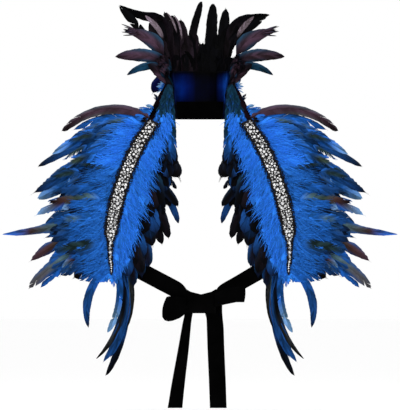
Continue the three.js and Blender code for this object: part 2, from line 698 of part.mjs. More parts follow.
function backFeathers() {
  const round = facetAngles(-COLLAR_TAPE_FACETS, COLLAR_TAPE_FACETS);
  const { low, root, high, sewn, proud, shingle } = BACK_TAPE;
  const { upright, bend: bendAt, turned } = BACK_CURVE;
  const tape = collarWall(round, [low, high], GAP, GAP + CLOTH);
  const feathers = BACK_FEATHERS.map(({ angle, tipX, tipZ, width }, i) => {
    const crown = collarSize(tipZ);
    const sine = clamp(tipX / crown.width, -1, 1);
    const tip = new THREE.Vector3(tipX, crown.depth * Math.sqrt(1 - sine * sine), tipZ);
    const tipAngle = THREE.MathUtils.radToDeg(Math.asin(sine));
    const out = proud + (i % 2) * shingle;
    const curve = new THREE.CatmullRomCurve3([
      collarPoint(angle, root, sewn),
      collarPoint(angle, COLLAR.height * upright, out),
      collarPoint(lerp(angle, tipAngle, turned), lerp(COLLAR.height, tipZ, bendAt), out),
      tip,
    ]);
    return freeFeather(curve, width, outwards);
  });
  return fuse([tape, ...feathers]);
}

function coverFeathers() {
  const { count, halfAngle, tipZ, width } = COLLAR_COVER;
  const { low, high, lean, tipLean } = COVER_CURVE;
  const { root, sewn, proud, shingle } = COVER_TAPE;
  const round = facetAngles(-COLLAR_TAPE_FACETS, COLLAR_TAPE_FACETS);
  const tape = collarWall(round, [COVER_TAPE.low, COVER_TAPE.high], GAP, GAP + CLOTH);
  const feathers = steps(count - 1, -halfAngle, halfAngle).map((angle, i) => {
    const out = proud + (i % 2) * shingle;
    const curve = new THREE.CatmullRomCurve3([
      collarPoint(angle, root, sewn),
      collarPoint(angle, lerp(root, tipZ, low), out),
      collarPoint(angle, lerp(root, tipZ, high), out + lean),
      collarPoint(angle, tipZ, out + tipLean),
    ]);
    return freeFeather(curve, width, outwards);
  });
  return fuse([tape, ...feathers]);
}

function flareFeathers(rows) {
  const { from, to, low, high } = FLARE_TAPE;
  const tape = collarWall(facetAngles(-from, -to), [low, high], GAP, GAP + CLOTH);
  const feathers = rows.map(({ z, root: proud, tipX, tipY, tipZ, bow, width }) => {
    const root = collarPoint((-COLLAR.facet * (from + to)) / 2, z, proud);
    const tip = new THREE.Vector3(tipX, tipY, tipZ);
    const middle = root.clone().lerp(tip, 0.5);
    middle.z += bow;
    return freeFeather(new THREE.QuadraticBezierCurve3(root, middle, tip), width, forwards);
  });
  return fuse([tape, ...feathers]);
}

// The ribbons

function ribbon(rows) {
  const grid = (offset) =>
    rows.map(({ x, y, z, turn, width, sewn }) => {
      const [wx, wz] = [Math.cos(degToRad(turn)), Math.sin(degToRad(turn))];
      return [-0.5, 0, 0.5].map((share) => {
        const px = x + share * width * wx;
        const pz = z + share * width * wz;
        const behindBase = () => wingDepth(-Math.abs(px), pz) + SEWN_GAP + RIBBON / 2;
        const crown = share === 0 ? RIBBON_CROWN : 0;
        return new THREE.Vector3(px, (sewn ? behindBase() : y - crown) + offset, pz);
      });
    });
  return wall(grid(-RIBBON / 2), grid(RIBBON / 2));
}

// The knot: a barrel whose front is drawn into upright creases.
function knot() {
  const { x, y, z, halfWidth, halfHeight, halfDepth } = KNOT;
  const { around, creases, crease, waist } = KNOT_FOLDS;
  const ring = (up) => {
    const drawn = 1 - waist * Math.cos((up * Math.PI) / 2);
    return steps(around - 1, 0, 2 * Math.PI * (1 - 1 / around)).map((turn) => {
      const fold = crease * Math.cos(creases * turn);
      const px = x + (halfWidth * drawn + fold) * Math.cos(turn);
      const py = y + (halfDepth + fold) * Math.sin(turn);
      return new THREE.Vector3(px, py, z + up * halfHeight);
    });
  };
  const rings = [-1, -0.5, 0.5, 1].map(ring);
  const ends = [-1, 1].map((up) => new THREE.Vector3(x, y, z + up * halfHeight));
  const points = [...rings.flat(), ...ends];
  const [foot, head] = [points.length - 2, points.length - 1];
  const top = (rings.length - 1) * around;
  const triangles = [];
  for (let i = 0; i < around; i++) {
    const next = (i + 1) % around;
    for (let k = 0; k + 1 < rings.length; k++) {
      const [a, b] = [k * around + i, k * around + next];
      triangles.push([a, b, b + around], [a, b + around, a + around]);
    }
    triangles.push([foot, next, i], [head, top + i, top + next]);
  }
  return closedGeometry(points, triangles);
}

// A bow loop: a strip of ribbon along a teardrop, whose two ends meet the knot side by side.
function loop({ x, y, z, side, length, depth, droop, width }) {
  const line = steps(LOOP_PARTS, 0, 2 * Math.PI).map((turn) => {
    const out = (length * (1 - Math.cos(turn))) / 2;
    const open = (depth / 2) * Math.sin(turn) * Math.sin(turn / 2) + LOOP_MOUTH * Math.cos(turn / 2);
    return new THREE.Vector2(out, open);
  });
  const along = new THREE.Vector2(side * Math.cos(degToRad(droop)), -Math.sin(degToRad(droop)));
  const grid = (offset) =>
    line.map((at, i) => {
      const way = line[Math.min(i + 1, LOOP_PARTS)].clone().sub(line[Math.max(i - 1, 0)]).normalize();
      const out = at.x - way.y * offset;
      const open = at.y + way.x * offset;
      return [-0.5, 0.5].map((share) => {
        const across = share * width * lerp(LOOP_GATHER, 1, smoothstep(out, 0, length * LOOP_FULL_AT));
        const px = x + along.x * out - along.y * across;
        const pz = z + along.y * out + along.x * across;
        return new THREE.Vector3(px, y + open, pz);
      });
    });
  return wall(grid(RIBBON / 2), grid(-RIBBON / 2));
}

// Assembly

const cape = new THREE.Group();

const zLevels = steps(2, 0, COLLAR.height);
const collarRound = facetAngles(-COLLAR.facets, COLLAR.facets);
cape.add(piece("collar_band", collarWall(collarRound, zLevels, -CLOTH, 0), satin));
const ribbonLevels = [NECK_RIBBON.low, NECK_RIBBON.high];
const insideBand = -CLOTH - GAP;
const neckRibbon = collarWall(collarRound, ribbonLevels, insideBand - RIBBON, insideBand);
cape.add(piece("neck_ribbon", neckRibbon, velvet));
cape.add(piece("collar_back_feathers", backFeathers(), plumFeather));
cape.add(piece("collar_cover_feathers", coverFeathers(), blueFeather));

const left = new THREE.Group();
const right = new THREE.Group();
right.scale.x = -1;
left.add(piece("left_collar_feathers", flareFeathers([...FLARE_FEATHERS, HANGING_FEATHER]), tealFeather));
right.add(piece("right_collar_feathers", flareFeathers(FLARE_FEATHERS), tealFeather));
for (const [name, [geometry, look]] of Object.entries(wingPieces())) {
  left.add(piece(`left_${name}`, geometry, look));
  right.add(piece(`right_${name}`, geometry, look));
}
cape.add(left, right);

const ribbons = {
  left_sash: ribbon(LEFT_SASH),
  right_sash: ribbon(RIGHT_SASH),
  bow_knot: knot(),
  left_loop: loop(LEFT_LOOP),
  right_loop: loop(RIGHT_LOOP),
  left_tie_end: ribbon(LEFT_TIE_END),
  right_tie_end: ribbon(RIGHT_TIE_END),
};
for (const [name, geometry] of Object.entries(ribbons)) {
  cape.add(piece(name, geometry, velvet));
}

export default cape;
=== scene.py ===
"""The looks of a feather cape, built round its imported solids.

Sizes and places are in millimetres, in the solids' frame: +Z up, the wearer facing -Y, the left wing
at -X. add_piece() turns them into metres. The right wing is the left one mirrored.
"""
import math

import bpy
import numpy as np
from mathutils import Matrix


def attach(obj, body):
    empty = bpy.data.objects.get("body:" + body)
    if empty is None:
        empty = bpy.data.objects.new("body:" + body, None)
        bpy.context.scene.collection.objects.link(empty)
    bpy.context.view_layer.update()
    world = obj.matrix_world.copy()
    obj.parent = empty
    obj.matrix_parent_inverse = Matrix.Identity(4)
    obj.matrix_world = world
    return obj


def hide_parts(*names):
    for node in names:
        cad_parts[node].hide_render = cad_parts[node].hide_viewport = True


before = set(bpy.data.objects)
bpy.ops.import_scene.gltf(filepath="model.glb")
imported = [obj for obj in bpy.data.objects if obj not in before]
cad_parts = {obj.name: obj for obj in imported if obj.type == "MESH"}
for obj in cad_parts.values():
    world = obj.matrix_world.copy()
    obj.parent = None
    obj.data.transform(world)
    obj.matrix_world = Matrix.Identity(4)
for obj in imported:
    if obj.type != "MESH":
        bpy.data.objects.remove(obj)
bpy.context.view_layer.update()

MM = 0.001

# Tables and arithmetic


def column(values):
    """Numbers, or words where some value isn't a number."""
    try:
        return np.array(values, float)
    except ValueError:
        return np.array(values)


def table(text):
    """Named columns from lines of text. The first line has their names."""
    names, *rows = (line.split() for line in text.strip().splitlines())
    return {name: column(values) for name, values in zip(names, zip(*rows))}


def records(text):
    """Rows of a table by their names, which are in its first column."""
    (_, names), *columns = table(text).items()
    return {name: {key: values[i] for key, values in columns} for i, name in enumerate(names)}


def by_height(rows, key, z):
    """A column of a table, read at heights. Its rows run downwards."""
    return np.interp(-z, -rows["z"], rows[key])


def lerp(a, b, share):
    return a + (b - a) * share


def smoothstep(x, low, high):
    t = np.clip((x - low) / (high - low), 0.0, 1.0)
    return t * t * (3.0 - 2.0 * t)


def unit(vectors):
    return vectors / np.maximum(np.linalg.norm(vectors, axis=-1, keepdims=True), 1e-9)


def catmull_rom(points, per_span=12):
    """A smooth line through points, an array of rows."""
    points = np.asarray(points, float)
    padded = np.vstack([2 * points[0] - points[1], points, 2 * points[-1] - points[-2]])
    t = np.linspace(0.0, 1.0, per_span, endpoint=False)[:, None]
    spans = []
    for a, b, c, d in zip(padded, padded[1:], padded[2:], padded[3:]):
        bend = (2 * a - 5 * b + 4 * c - d) * t**2 + (3 * b - a - 3 * c + d) * t**3
        spans.append(0.5 * (2 * b + (c - a) * t + bend))
    return np.vstack(spans + [points[-1:]])


def path_length(points):
    return np.linalg.norm(np.diff(points, axis=0), axis=1).sum()


def linear(red, green, blue):
    """A screen colour as a linear one."""
    c = np.array([red, green, blue]) / 255.0
    return np.where(c <= 0.04045, c / 12.92, ((c + 0.055) / 1.055) ** 2.4)


# The wing's surface, as on the solids

SEAM = table("""
    x y z outer inner
    -63 -32.8 62 7 13
    -75 -43 30 11 14
    -91 -62 -8 15 15
    -118 -86 -51 17 17
    -143 -105 -109 18 18
    -160 -113 -165 18 18
    -169 -110 -218 17 17
    -170 -98 -260 15 15
    -168 -84 -296 12 12
    -168 -78 -360 0 0
    -168 -76 -500 0 0
""")
SEAM_LINE = dict(zip("xyz", catmull_rom(np.stack([SEAM[key] for key in "xyz"], axis=1)).T))
SEAM_TOP = 62
SEAM_FOOT = -296
# How the wing bends back on either side of the seam, and how it leans near its top.
WRAP_OUTER = {"slope": 0.55, "ease": 80}
WRAP_INNER = {"slope": 0.2, "ease": 60}
LEAN = {"slope": 0.4, "reach": 40, "foot": -30}
OUT, IN = 1, -1


def seam_x(z):
    return by_height(SEAM_LINE, "x", z)


def seam_out(z):
    """The way out across the seam, in the front view."""
    near = 2.0
    slope = (seam_x(z + near) - seam_x(z - near)) / (2 * near)
    return unit(np.stack([-np.ones_like(slope), slope], axis=-1))


def seam_distance(x, z):
    return np.abs((seam_x(z) - x) * seam_out(z)[..., 0])


def off_seam(z, distance):
    """x and z at a distance out from the seam, in the front view."""
    out = seam_out(z)
    return seam_x(z) + distance * out[..., 0], z + distance * out[..., 1]


def wing_depth(x, z):
    """Depth of the back of the wing's base."""
    out = seam_x(z) - x
    lean = LEAN["slope"] * smoothstep(z, LEAN["foot"], SEAM_TOP)
    slope, ease = (np.where(out > 0, WRAP_OUTER[key], WRAP_INNER[key]) for key in ("slope", "ease"))
    bend = slope * out**2 / (np.abs(out) + ease)
    return by_height(SEAM_LINE, "y", z) + lean * LEAN["reach"] * np.tanh(out / LEAN["reach"]) + bend


def wing_point(x, z, height):
    return np.stack([x, wing_depth(x, z) - height, z], axis=-1)


def beside_seam(z, distance, height):
    return wing_point(*off_seam(z, distance), height)


# Half the width of the stones' field, which narrows above the foot.
TRIM_WIDTH = table("""
    z half
    -3 9.5
    -51 11
    -109 11.5
    -165 12
    -214 10.5
    -232 5
    -260 3.6
    -282 2.8
    -296 1.2
""")
TRIM_TOP = -3
TRIM_MARGIN = 1.0
# How high covers may stand beside the trim: at its edge, and past the width that they rise over.
TUCK = {"low": 8.6, "high": 22.0, "width": 16.0}


def trim_half(z):
    return by_height(TRIM_WIDTH, "half", z)


def under_trim(points):
    """Points of feathers on the wing, lowered where they would stand in front of the trim."""
    x, y, z = np.moveaxis(points, -1, 0)
    beyond = seam_distance(x, z) - trim_half(z) + np.maximum(z - TRIM_TOP, 0)
    highest = lerp(TUCK["low"], TUCK["high"], smoothstep(beyond, 0, TUCK["width"]))
    return np.stack([x, np.maximum(y, wing_depth(x, z) - highest), z], axis=-1)


# Strips

CELL_INSET = 0.18


class Strips:
    """Narrow strips of one piece, in batches with the same number of points, and a colour for each point."""

    def __init__(self):
        self.batches = []

    def add(self, line, front, half_width, colour):
        """line, front and colour are (strips, points, 3), half_width is (strips, points)."""
        side = unit(np.cross(np.gradient(line, axis=1), front)) * half_width[..., None]
        self.add_between(line + side, line - side, colour, colour)

    def add_between(self, first, second, first_colour, second_colour):
        """Strips between two edges, each (strips, points, 3), with the colours of both."""
        points = np.stack([first, second], axis=2)
        self.batches.append((points, np.stack([first_colour, second_colour], axis=2)))

    def arrays(self):
        """Points, quads, colours, and places in the bake map, which has one cell for each strip."""
        across = math.ceil(math.sqrt(sum(len(points) for points, _ in self.batches)))
        quads, places = [], []
        start, cell = 0, 0
        for points, _ in self.batches:
            count, steps = points.shape[:2]
            first = start + 2 * (np.arange(count)[:, None] * steps + np.arange(steps - 1))
            quads.append(np.stack([first, first + 1, first + 3, first + 2], axis=-1).reshape(-1, 4))
            index = cell + np.arange(count)[:, None]
            u = index % across + np.linspace(CELL_INSET, 1 - CELL_INSET, steps)
            v = index // across + np.zeros(steps)
            place = np.stack([u, v + CELL_INSET, u, v + 1 - CELL_INSET], axis=-1)
            places.append(place.reshape(-1, 2) / across)
            start += points.size // 3
            cell += count
        points, colours = (
            np.concatenate([part.reshape(-1, 3) for part in parts]) for parts in zip(*self.batches))
        return points, np.concatenate(quads), colours, np.concatenate(places)


# Colours

PAINTS = table("""
    name red green blue
    bright 40 113 210
    blue 25 87 170
    deep 18 58 110
    night 7 17 36
    pale 98 138 180
    teal 13 46 66
    grey_green 70 98 106
    olive 42 56 47
    bronze 62 40 37
    plum 58 41 52
    dark_plum 16 11 16
    black 3 3 5
    soot 28 21 27
    smoke 120 106 116
    vivid 44 125 246
    moss 30 50 54
    slate 66 66 70
    drab 40 43 45
    midnight 4 6 54
""")
COLOURS = {name: linear(*screen) for name, *screen in zip(*PAINTS.values())}
STOPS = 5
MIDDLE, EDGES = 0, 1


def read_looks(text):
    """Colours along feathers, at even steps from root to tip: those of a feather's middle, and after a bar
    those of its edges, where they are others."""
    looks = {}
    for line in text.strip().splitlines():
        name, *words = line.replace("|", " ").split()
        stops = [COLOURS[word] for word in words]
        looks[name] = (stops[:STOPS], stops[-STOPS:])
    return looks


LOOKS = read_looks("""
    blue bright blue blue blue deep
    bright bright bright bright blue blue
    deep blue blue deep deep night
    pale bright blue blue blue pale
    olive bright deep olive olive blue | bright blue blue blue deep
    grey bright blue grey_green deep deep | bright blue blue blue deep
    bronze blue deep olive bronze plum | blue blue blue deep plum
    rust blue olive bronze plum pale | blue blue deep blue pale
    tipped bright blue blue deep black
    black blue deep night black black
    plum plum plum plum plum dark_plum | plum plum slate slate dark_plum
    spike blue deep grey_green bronze vivid | blue blue deep bright vivid
    smoke blue deep grey_green slate slate | blue blue deep deep slate
    forest deep night night black black | deep teal teal night black
    umber night dark_plum dark_plum dark_plum black | night night dark_plum dark_plum black
    crown black dark_plum dark_plum black black
    ash black dark_plum soot soot dark_plum
    silver dark_plum smoke smoke smoke smoke
    flare black black plum plum dark_plum | black night teal dark_plum dark_plum
    petrol black night teal teal night
    navy night night night night black
    strap teal teal teal teal deep
    jet black black black black black
    tuft blue blue pale pale pale
    vivid bright vivid vivid vivid bright
    mossy bright bright blue moss deep
    moss blue moss moss moss deep | blue deep deep deep blue
    ember blue grey_green olive bronze dark_plum | blue olive deep olive night
    shot blue deep dark_plum dark_plum night | blue deep deep deep teal
    drab blue deep drab drab black | blue deep night black black
    thorn blue night black drab black | blue deep deep night black
    dusk deep deep blue night black
    steel blue deep deep deep deep
    ice blue blue blue pale pale
    prong plum plum plum dark_plum dark_plum
    midnight black midnight midnight midnight black
""")

# Feathers

# Heights forwards from the back of the base, as on the solids. curl is how far tips may lift or fall,
# roll the degrees that feathers turn about their shafts.
LAYERS = records("""
    name root reach blade rise shingle curl roll
    tail 8 13 -4.6 -2.6 -3.0 1.5 9
    under 8 13 -1.9 -2.4 -2.0 6 9
    long 8 13 3.4 0.0 3.2 7 9
    cover 9 12 5.4 5.2 4.0 3 4
    down 9 11 7.4 6.0 4.5 4 9
    accent 9 11 7.4 10.0 1.5 -2 9
""")
# The distance over which feathers rise to their layer's height, and shares of its curl.
LIFT = 15
CURLS = (-0.6, 1)
FREE_ROLL = 9.0
# Shares of a feather's width at shares of its length.
OUTLINES = {
    "slim": ([0, 0.1, 0.32, 0.62, 0.85, 0.95, 1, 1.2], [0.2, 0.6, 0.94, 1, 0.66, 0.34, 0.04, 0]),
    "round": ([0, 0.1, 0.3, 0.6, 0.85, 0.95, 1, 1.2], [0.3, 0.7, 0.96, 1, 0.86, 0.58, 0.1, 0]),
    "downy": ([0, 0.15, 0.4, 0.7, 0.9, 1, 1.2], [0.7, 1, 1, 0.86, 0.56, 0.24, 0]),
    "taper": ([0, 0.1, 0.3, 0.52, 0.68, 0.86, 1, 1.2], [0.3, 0.8, 1, 0.94, 0.62, 0.44, 0.04, 0]),
    "bare": ([0, 0.3, 0.44, 0.56, 0.72, 0.87, 0.96, 1, 1.2],
             [0.06, 0.14, 0.9, 1, 0.76, 0.46, 0.28, 0.08, 0]),
}
# barbs on each side, their angle to the shaft, splits in a vane, how far the parts between splits
# move along the feather, the unevenness of barbs, and the shaft's width.
KINDS = records("""
    name barbs angle splits slip uneven shaft outline
    long 44 30 2.0 0.03 0.06 0.9 slim
    round 36 34 0.8 0.015 0.03 0.8 round
    sleek 44 26 0 0.01 0.02 0.8 slim
    spike 44 26 0 0.01 0.02 0.8 taper
    flare 44 26 0 0.01 0.02 0.8 bare
    frayed 40 24 5 0.05 0.1 0.8 slim
    cover 26 34 6 0.05 0.14 0.4 downy
""")
STATIONS = np.linspace(0.0, 1.15, 16)
# Barbs: their first and last roots, the unevenness of their angle, how they sweep and spread, their least
# length, how far they stand up at the shaft by the feather's width, how far loose parts flutter, and bounds
# for how much shorter or longer those are.
BARB = {"first": 0.01, "last": 0.99, "turn": 0.08, "sweep": 1.15, "spread": 1.25, "least": 0.2,
        "ridge": 0.085, "flutter": 0.5, "bounds": (-1.5, 1)}
BARB_STEPS = np.array([0.0, 0.34, 0.68, 1.0])
# A split is closed at the shaft by a share, and opens between two places along its barb.
SPLIT = {"closed": 0.9, "from": 0.45, "to": 0.95}
STEM = {"points": 10, "last": 0.97, "proud": 0.35, "taper": 0.75, "tone": 0.6}
# Unevenness of colour among barbs, streaks of barbs, parts of a vane and feathers, and its bounds.
SHADE = {"barb": 0.08, "streak": 0.22, "part": 0.12, "feather": 0.16, "least": 0.4, "most": 1.7}
# Streaks of neighbouring barbs: their weights, the size of the sum, and how dark ones lose blue.
STREAK = ((-2, 1), (-1, 2), (0, 3), (1, 2), (2, 1))
STREAK_SIZE = math.sqrt(sum(weight * weight for _, weight in STREAK))
STREAK_TONE = np.array([1.0, 1.0, 1.15])
# Painted light: the vane that faces up gets a painted highlight, lighter and paler, and the other one painted
# shade, darker.
PAINTED_LIGHT = {"tone": 0.4, "most": 0.4, "pale": 0.25}
# Where, across a vane, the colours of its middle turn to those of its edge.
EDGE_BLEND = (0.3, 0.9)
ARC = ("x", "z", "angle", "bow", "length", "width")
SCATTER = {"bows": (0.6, 1.2), "widths": (0.85, 1.15)}


def to_tip(rows, side, layer):
    """Arcs that start beside the seam and end at the rows' tips."""
    x, z = off_seam(rows["z"], side * LAYERS[layer]["root"])
    chord = np.hypot(rows["tip_x"] - x, rows["tip_z"] - z)
    toward = np.arctan2(rows["tip_z"] - z, rows["tip_x"] - x)
    half = np.radians(rows["bow"]) / 2
    arcs = {key: rows[key] for key in ("width", "look", "level", "kind") if key in rows}
    arcs.update(x=x, z=z, bow=2 * half, angle=np.mod(toward - half, 2 * np.pi))
    arcs["length"] = chord * half / np.sin(half)
    return arcs


def in_radians(arcs):
    return {**arcs, "angle": np.radians(arcs["angle"]), "bow": np.radians(arcs["bow"])}


def scatter(arcs, rng, looks, count, shorter=(0.5, 0.95), sway=6.0, first=0.0, last=1):
    """More feathers between those of a row, with shares of their lengths and looks drawn by weight. first
    and last bound the part of the row that they fill."""
    place = rng.uniform(first, len(arcs["x"]) - last, count)
    index = np.arange(len(arcs["x"]))
    more = {key: np.interp(place, index, arcs[key]) for key in ARC}
    more["length"] *= rng.uniform(*shorter, count)
    more["angle"] += np.radians(rng.normal(0, sway, count))
    more["bow"] *= rng.uniform(*SCATTER["bows"], count)
    more["width"] *= rng.uniform(*SCATTER["widths"], count)
    weights = np.array(list(looks.values()))
    more["look"] = rng.choice(list(looks), count, p=weights / sum(looks.values()))
    return more


def wing_frames(arcs, layer, rng, stations=STATIONS):
    """Lines of feathers on the wing, with the ways across them and forwards from them. Where arcs give no
    level, a feather's place between the lowest and the highest of its layer is drawn at random."""
    x0, z0, angle, bow, length = (arcs[key][:, None] for key in ("x", "z", "angle", "bow", "length"))
    bow = np.where(np.abs(bow) < 0.01, 0.01, bow)
    turned = angle + bow * stations
    x = x0 + length / bow * (np.sin(turned) - np.sin(angle))
    z = z0 - length / bow * (np.cos(turned) - np.cos(angle))
    level = arcs.get("level", rng.random(len(x)))[:, None]
    raised = layer["rise"] + layer["shingle"] * level
    lifted = smoothstep(seam_distance(x, z), layer["reach"], layer["reach"] + LIFT)
    curl = layer["curl"] * rng.uniform(*CURLS, (len(x), 1)) * stations**2
    line = wing_point(x, z, layer["blade"] + lifted * raised + curl)
    near = 4.0
    dx, dz = -np.sin(turned) * near, np.cos(turned) * near
    rise = wing_depth(x + dx, z + dz) - wing_depth(x - dx, z - dz)
    across = unit(np.stack([2 * dx, rise, 2 * dz], axis=-1))
    return rolled(line, across, rng, layer["roll"])


def rolled(line, across, rng, spread):
    """Frames along lines, each turned a little about its line."""
    tangent = unit(np.gradient(line, axis=1))
    front = unit(np.cross(tangent, across))
    roll = np.radians(rng.normal(0, spread, (len(line), 1, 1)))
    return (line, across * np.cos(roll) + front * np.sin(roll), front * np.cos(roll) - across * np.sin(roll))


def read_steps(grid, place):
    """Values of a (feathers, steps, 3) grid at places, counted in steps, along each feather."""
    low = place.astype(int)
    flat = low.reshape(len(grid), -1, 1)
    before, after = (np.take_along_axis(grid, flat + k, axis=1).reshape(*place.shape, 3) for k in (0, 1))
    return lerp(before, after, (place - low)[..., None])


def sample(grid, along):
    last = len(STATIONS) - 1
    return read_steps(grid, np.clip(along / STATIONS[-1] * last, 0, last - 0.001))


def colours_along(looks, along, part=MIDDLE):
    stops = np.array([LOOKS[look][part] for look in looks])
    return read_steps(stops, np.clip(along, 0, 0.999) * (STOPS - 1))


def vanes(strips, frames, flock, kind, rng, gloss=1.0, settle=None):
    """Adds feathers: on each side of the shaft a vane of barbs that is whole but for a few splits.
    settle moves the barbs' points, and gloss scales the painted highlight and shade of the vanes."""
    line, across, front = frames
    count, barbs = len(line), int(kind["barbs"])
    length = flock["length"][:, None, None]
    half = flock["width"][:, None, None] / 2
    outline = OUTLINES[kind["outline"]]
    side = np.array([1.0, -1.0])[:, None, None]
    shape = (count, 2, barbs + 1)

    split = rng.random(shape) < kind["splits"] / barbs
    group = np.cumsum(split, axis=2)
    own = rng.normal(0, 1, (count, 2, group.max() + 1))
    of_group = np.take_along_axis(own, group, axis=2)

    root = np.broadcast_to(lerp(BARB["first"], BARB["last"], np.arange(barbs + 1) / barbs), shape)
    angle = np.radians(kind["angle"]) * (1 + BARB["turn"] * rng.normal(size=(count, 1, 1)))
    tip = root + half * np.interp(root, *outline) / np.tan(angle) / length
    tip = tip + kind["slip"] * of_group
    reach = half * np.interp(tip, *outline) * (1 + 2 * kind["uneven"] * of_group.clip(*BARB["bounds"]))
    reach = np.maximum(reach * (1 + kind["uneven"] * rng.normal(size=shape)), BARB["least"])

    s = BARB_STEPS
    along = root[..., None] + (tip - root)[..., None] * s ** BARB["sweep"]
    out = reach[..., None] * (1 - (1 - s) ** BARB["spread"])
    across_vane = np.clip(out / half[..., None], 0, 1)
    ridge = BARB["ridge"] * 2 * half
    lift = ridge[..., None] * (1 - across_vane) + BARB["flutter"] * of_group[..., None] * s
    wide = sample(across, along)
    barb = sample(line, along) + wide * (side * out)[..., None] + sample(front, along) * lift[..., None]
    if settle:
        barb = settle(barb)

    # Painted highlight and shade: each vane is lightened and mixed towards pale, or darkened, by how far it
    # faces up.
    lit = (side * wide[..., 2] * across_vane * gloss)[..., None]
    middle, edge = (colours_along(flock["look"], along, part) for part in (MIDDLE, EDGES))
    colour = lerp(middle, edge, smoothstep(across_vane, *EDGE_BLEND)[..., None])
    loose = rng.normal(size=shape)
    streak = sum(np.roll(loose, k, axis=2) * weight for k, weight in STREAK) / STREAK_SIZE
    shade = 1 + SHADE["barb"] * loose + SHADE["streak"] * streak + SHADE["part"] * of_group
    shade = (shade + SHADE["feather"] * rng.normal(size=(count, 1, 1))).clip(SHADE["least"], SHADE["most"])
    colour = colour * shade[..., None, None] ** STREAK_TONE
    colour = colour * (1 + PAINTED_LIGHT["tone"] * lit.clip(-1, PAINTED_LIGHT["most"]))
    colour = np.clip(lerp(colour, COLOURS["pale"], PAINTED_LIGHT["pale"] * lit.clip(0, 1) ** 2), 0, 1)

    opening = SPLIT["closed"] * (1 - smoothstep(s, SPLIT["from"], SPLIT["to"]))
    closing = np.where(split[..., 1:, None], opening, 1.0)[..., None]
    near, far = barb[:, :, :-1], lerp(barb[:, :, :-1], barb[:, :, 1:], closing)
    for k in (0, 1):
        edges = [near[:, k], far[:, k]]
        colours = [colour[:, k, :-1], colour[:, k, 1:]]
        if k == 0:
            edges, colours = edges[::-1], colours[::-1]
        strips.add_between(*(part.reshape(-1, len(s), 3) for part in edges + colours))

    stem = np.broadcast_to(np.linspace(0, STEM["last"], STEM["points"]), (count, STEM["points"]))
    stem_front = sample(front, stem)
    stem_line = sample(line, stem) + stem_front * (ridge[:, 0] + STEM["proud"])[..., None]
    stem_width = kind["shaft"] / 2 * (1 - STEM["taper"] * stem)
    strips.add(stem_line, stem_front, stem_width, STEM["tone"] * colours_along(flock["look"], stem))


def grow(strips, arcs, layer, kind, rng, **options):
    """Adds feathers of one kind along arcs on the wing."""
    vanes(strips, wing_frames(arcs, LAYERS[layer], rng), arcs, KINDS[kind], rng, **options)


def grow_kinds(strips, arcs, layer, kinds, rng):
    """Adds the feathers of each kind in turn."""
    for kind in kinds:
        grow(strips, {key: values[arcs["kind"] == kind] for key, values in arcs.items()}, layer, kind, rng)


WISP = {"points": 5, "half_width": 0.55, "widths": (0.7, 1.2), "taper": 0.7, "arch": (-0.5, 3.5),
        "last_colour": 0.75, "shade": 0.16, "tones": (0.55, 1.5)}


def wisps(strips, arcs, layer, rng):
    """Adds loose downy barbs along arcs."""
    steps = np.linspace(0.0, 1.0, WISP["points"])
    line, _, front = wing_frames(arcs, LAYERS[layer], rng, steps)
    count = len(line)
    arch = np.sin(np.pi * steps)[None, :] * rng.uniform(*WISP["arch"], (count, 1))
    line = line + front * arch[..., None]
    along = np.broadcast_to(WISP["last_colour"] * steps, (count, len(steps)))
    shade = np.clip(rng.normal(1.0, WISP["shade"], (count, 1, 1)), *WISP["tones"])
    colour = colours_along(arcs["look"], along) * shade
    width = WISP["half_width"] * rng.uniform(*WISP["widths"], (count, 1))
    strips.add(line, front, width * (1 - WISP["taper"] * steps**2), np.clip(colour, 0, 1))


# Wing tables: root on the seam, tip in the front view, degrees that the feather turns, width, look.
OUTER_FEATHERS = table("""
    z tip_x tip_z bow width look kind
    -2 -263 -25 78 26 plum round
    -10 -240 -21 52 26 blue long
    -17 -247 -40 46 27 grey long
    -25 -281 -68 42 27 pale long
    -38 -307 -91 34 21 tipped round
    -57 -286 -112 28 28 moss long
    -74 -313 -140 22 27 tipped frayed
    -93 -308 -152 17 28 pale round
    -110 -309 -182 14 28 rust frayed
    -120 -292 -176 11 27 blue long
    -129 -294 -198 8 28 grey long
    -150 -293 -226 8 28 moss long
    -170 -376 -219 -20 25 spike spike
    -188 -321 -268 16 25 bronze long
    -207 -288 -275 18 28 olive long
    -226 -325 -321 30 23 smoke round
    -241 -302 -321 38 25 blue frayed
    -256 -262 -297 20 28 tipped frayed
    -271 -238 -301 26 25 black round
    -284 -211 -396 68 19 deep sleek
""")
INNER_FEATHERS = table("""
    z tip_x tip_z bow width look
    55 -53 -14 -6 13 strap
    40 -52 -46 -10 18 strap
    20 -52 -67 -16 24 blue
    -2 -54 -86 -24 27 deep
    -21 -60 -112 -30 29 forest
    -40 -65 -136 -30 29 deep
    -63 -75 -163 -30 29 forest
    -85 -80 -192 -30 29 forest
    -110 -84 -216 -30 29 deep
    -135 -91 -240 -30 29 umber
    -161 -98 -279 -32 28 shot
    -188 -111 -298 -34 27 shot
    -213 -127 -316 -36 23 shot
""")
UNDER_FEATHERS = table("""
    z tip_x tip_z bow width look
    -40 -41 -111 -40 37 umber
    -66 -44 -133 -20 13 navy
    -84 -41 -198 -46 15 deep
    -108 -59 -226 -38 23 umber
    -128 -72 -237 -36 21 umber
""")
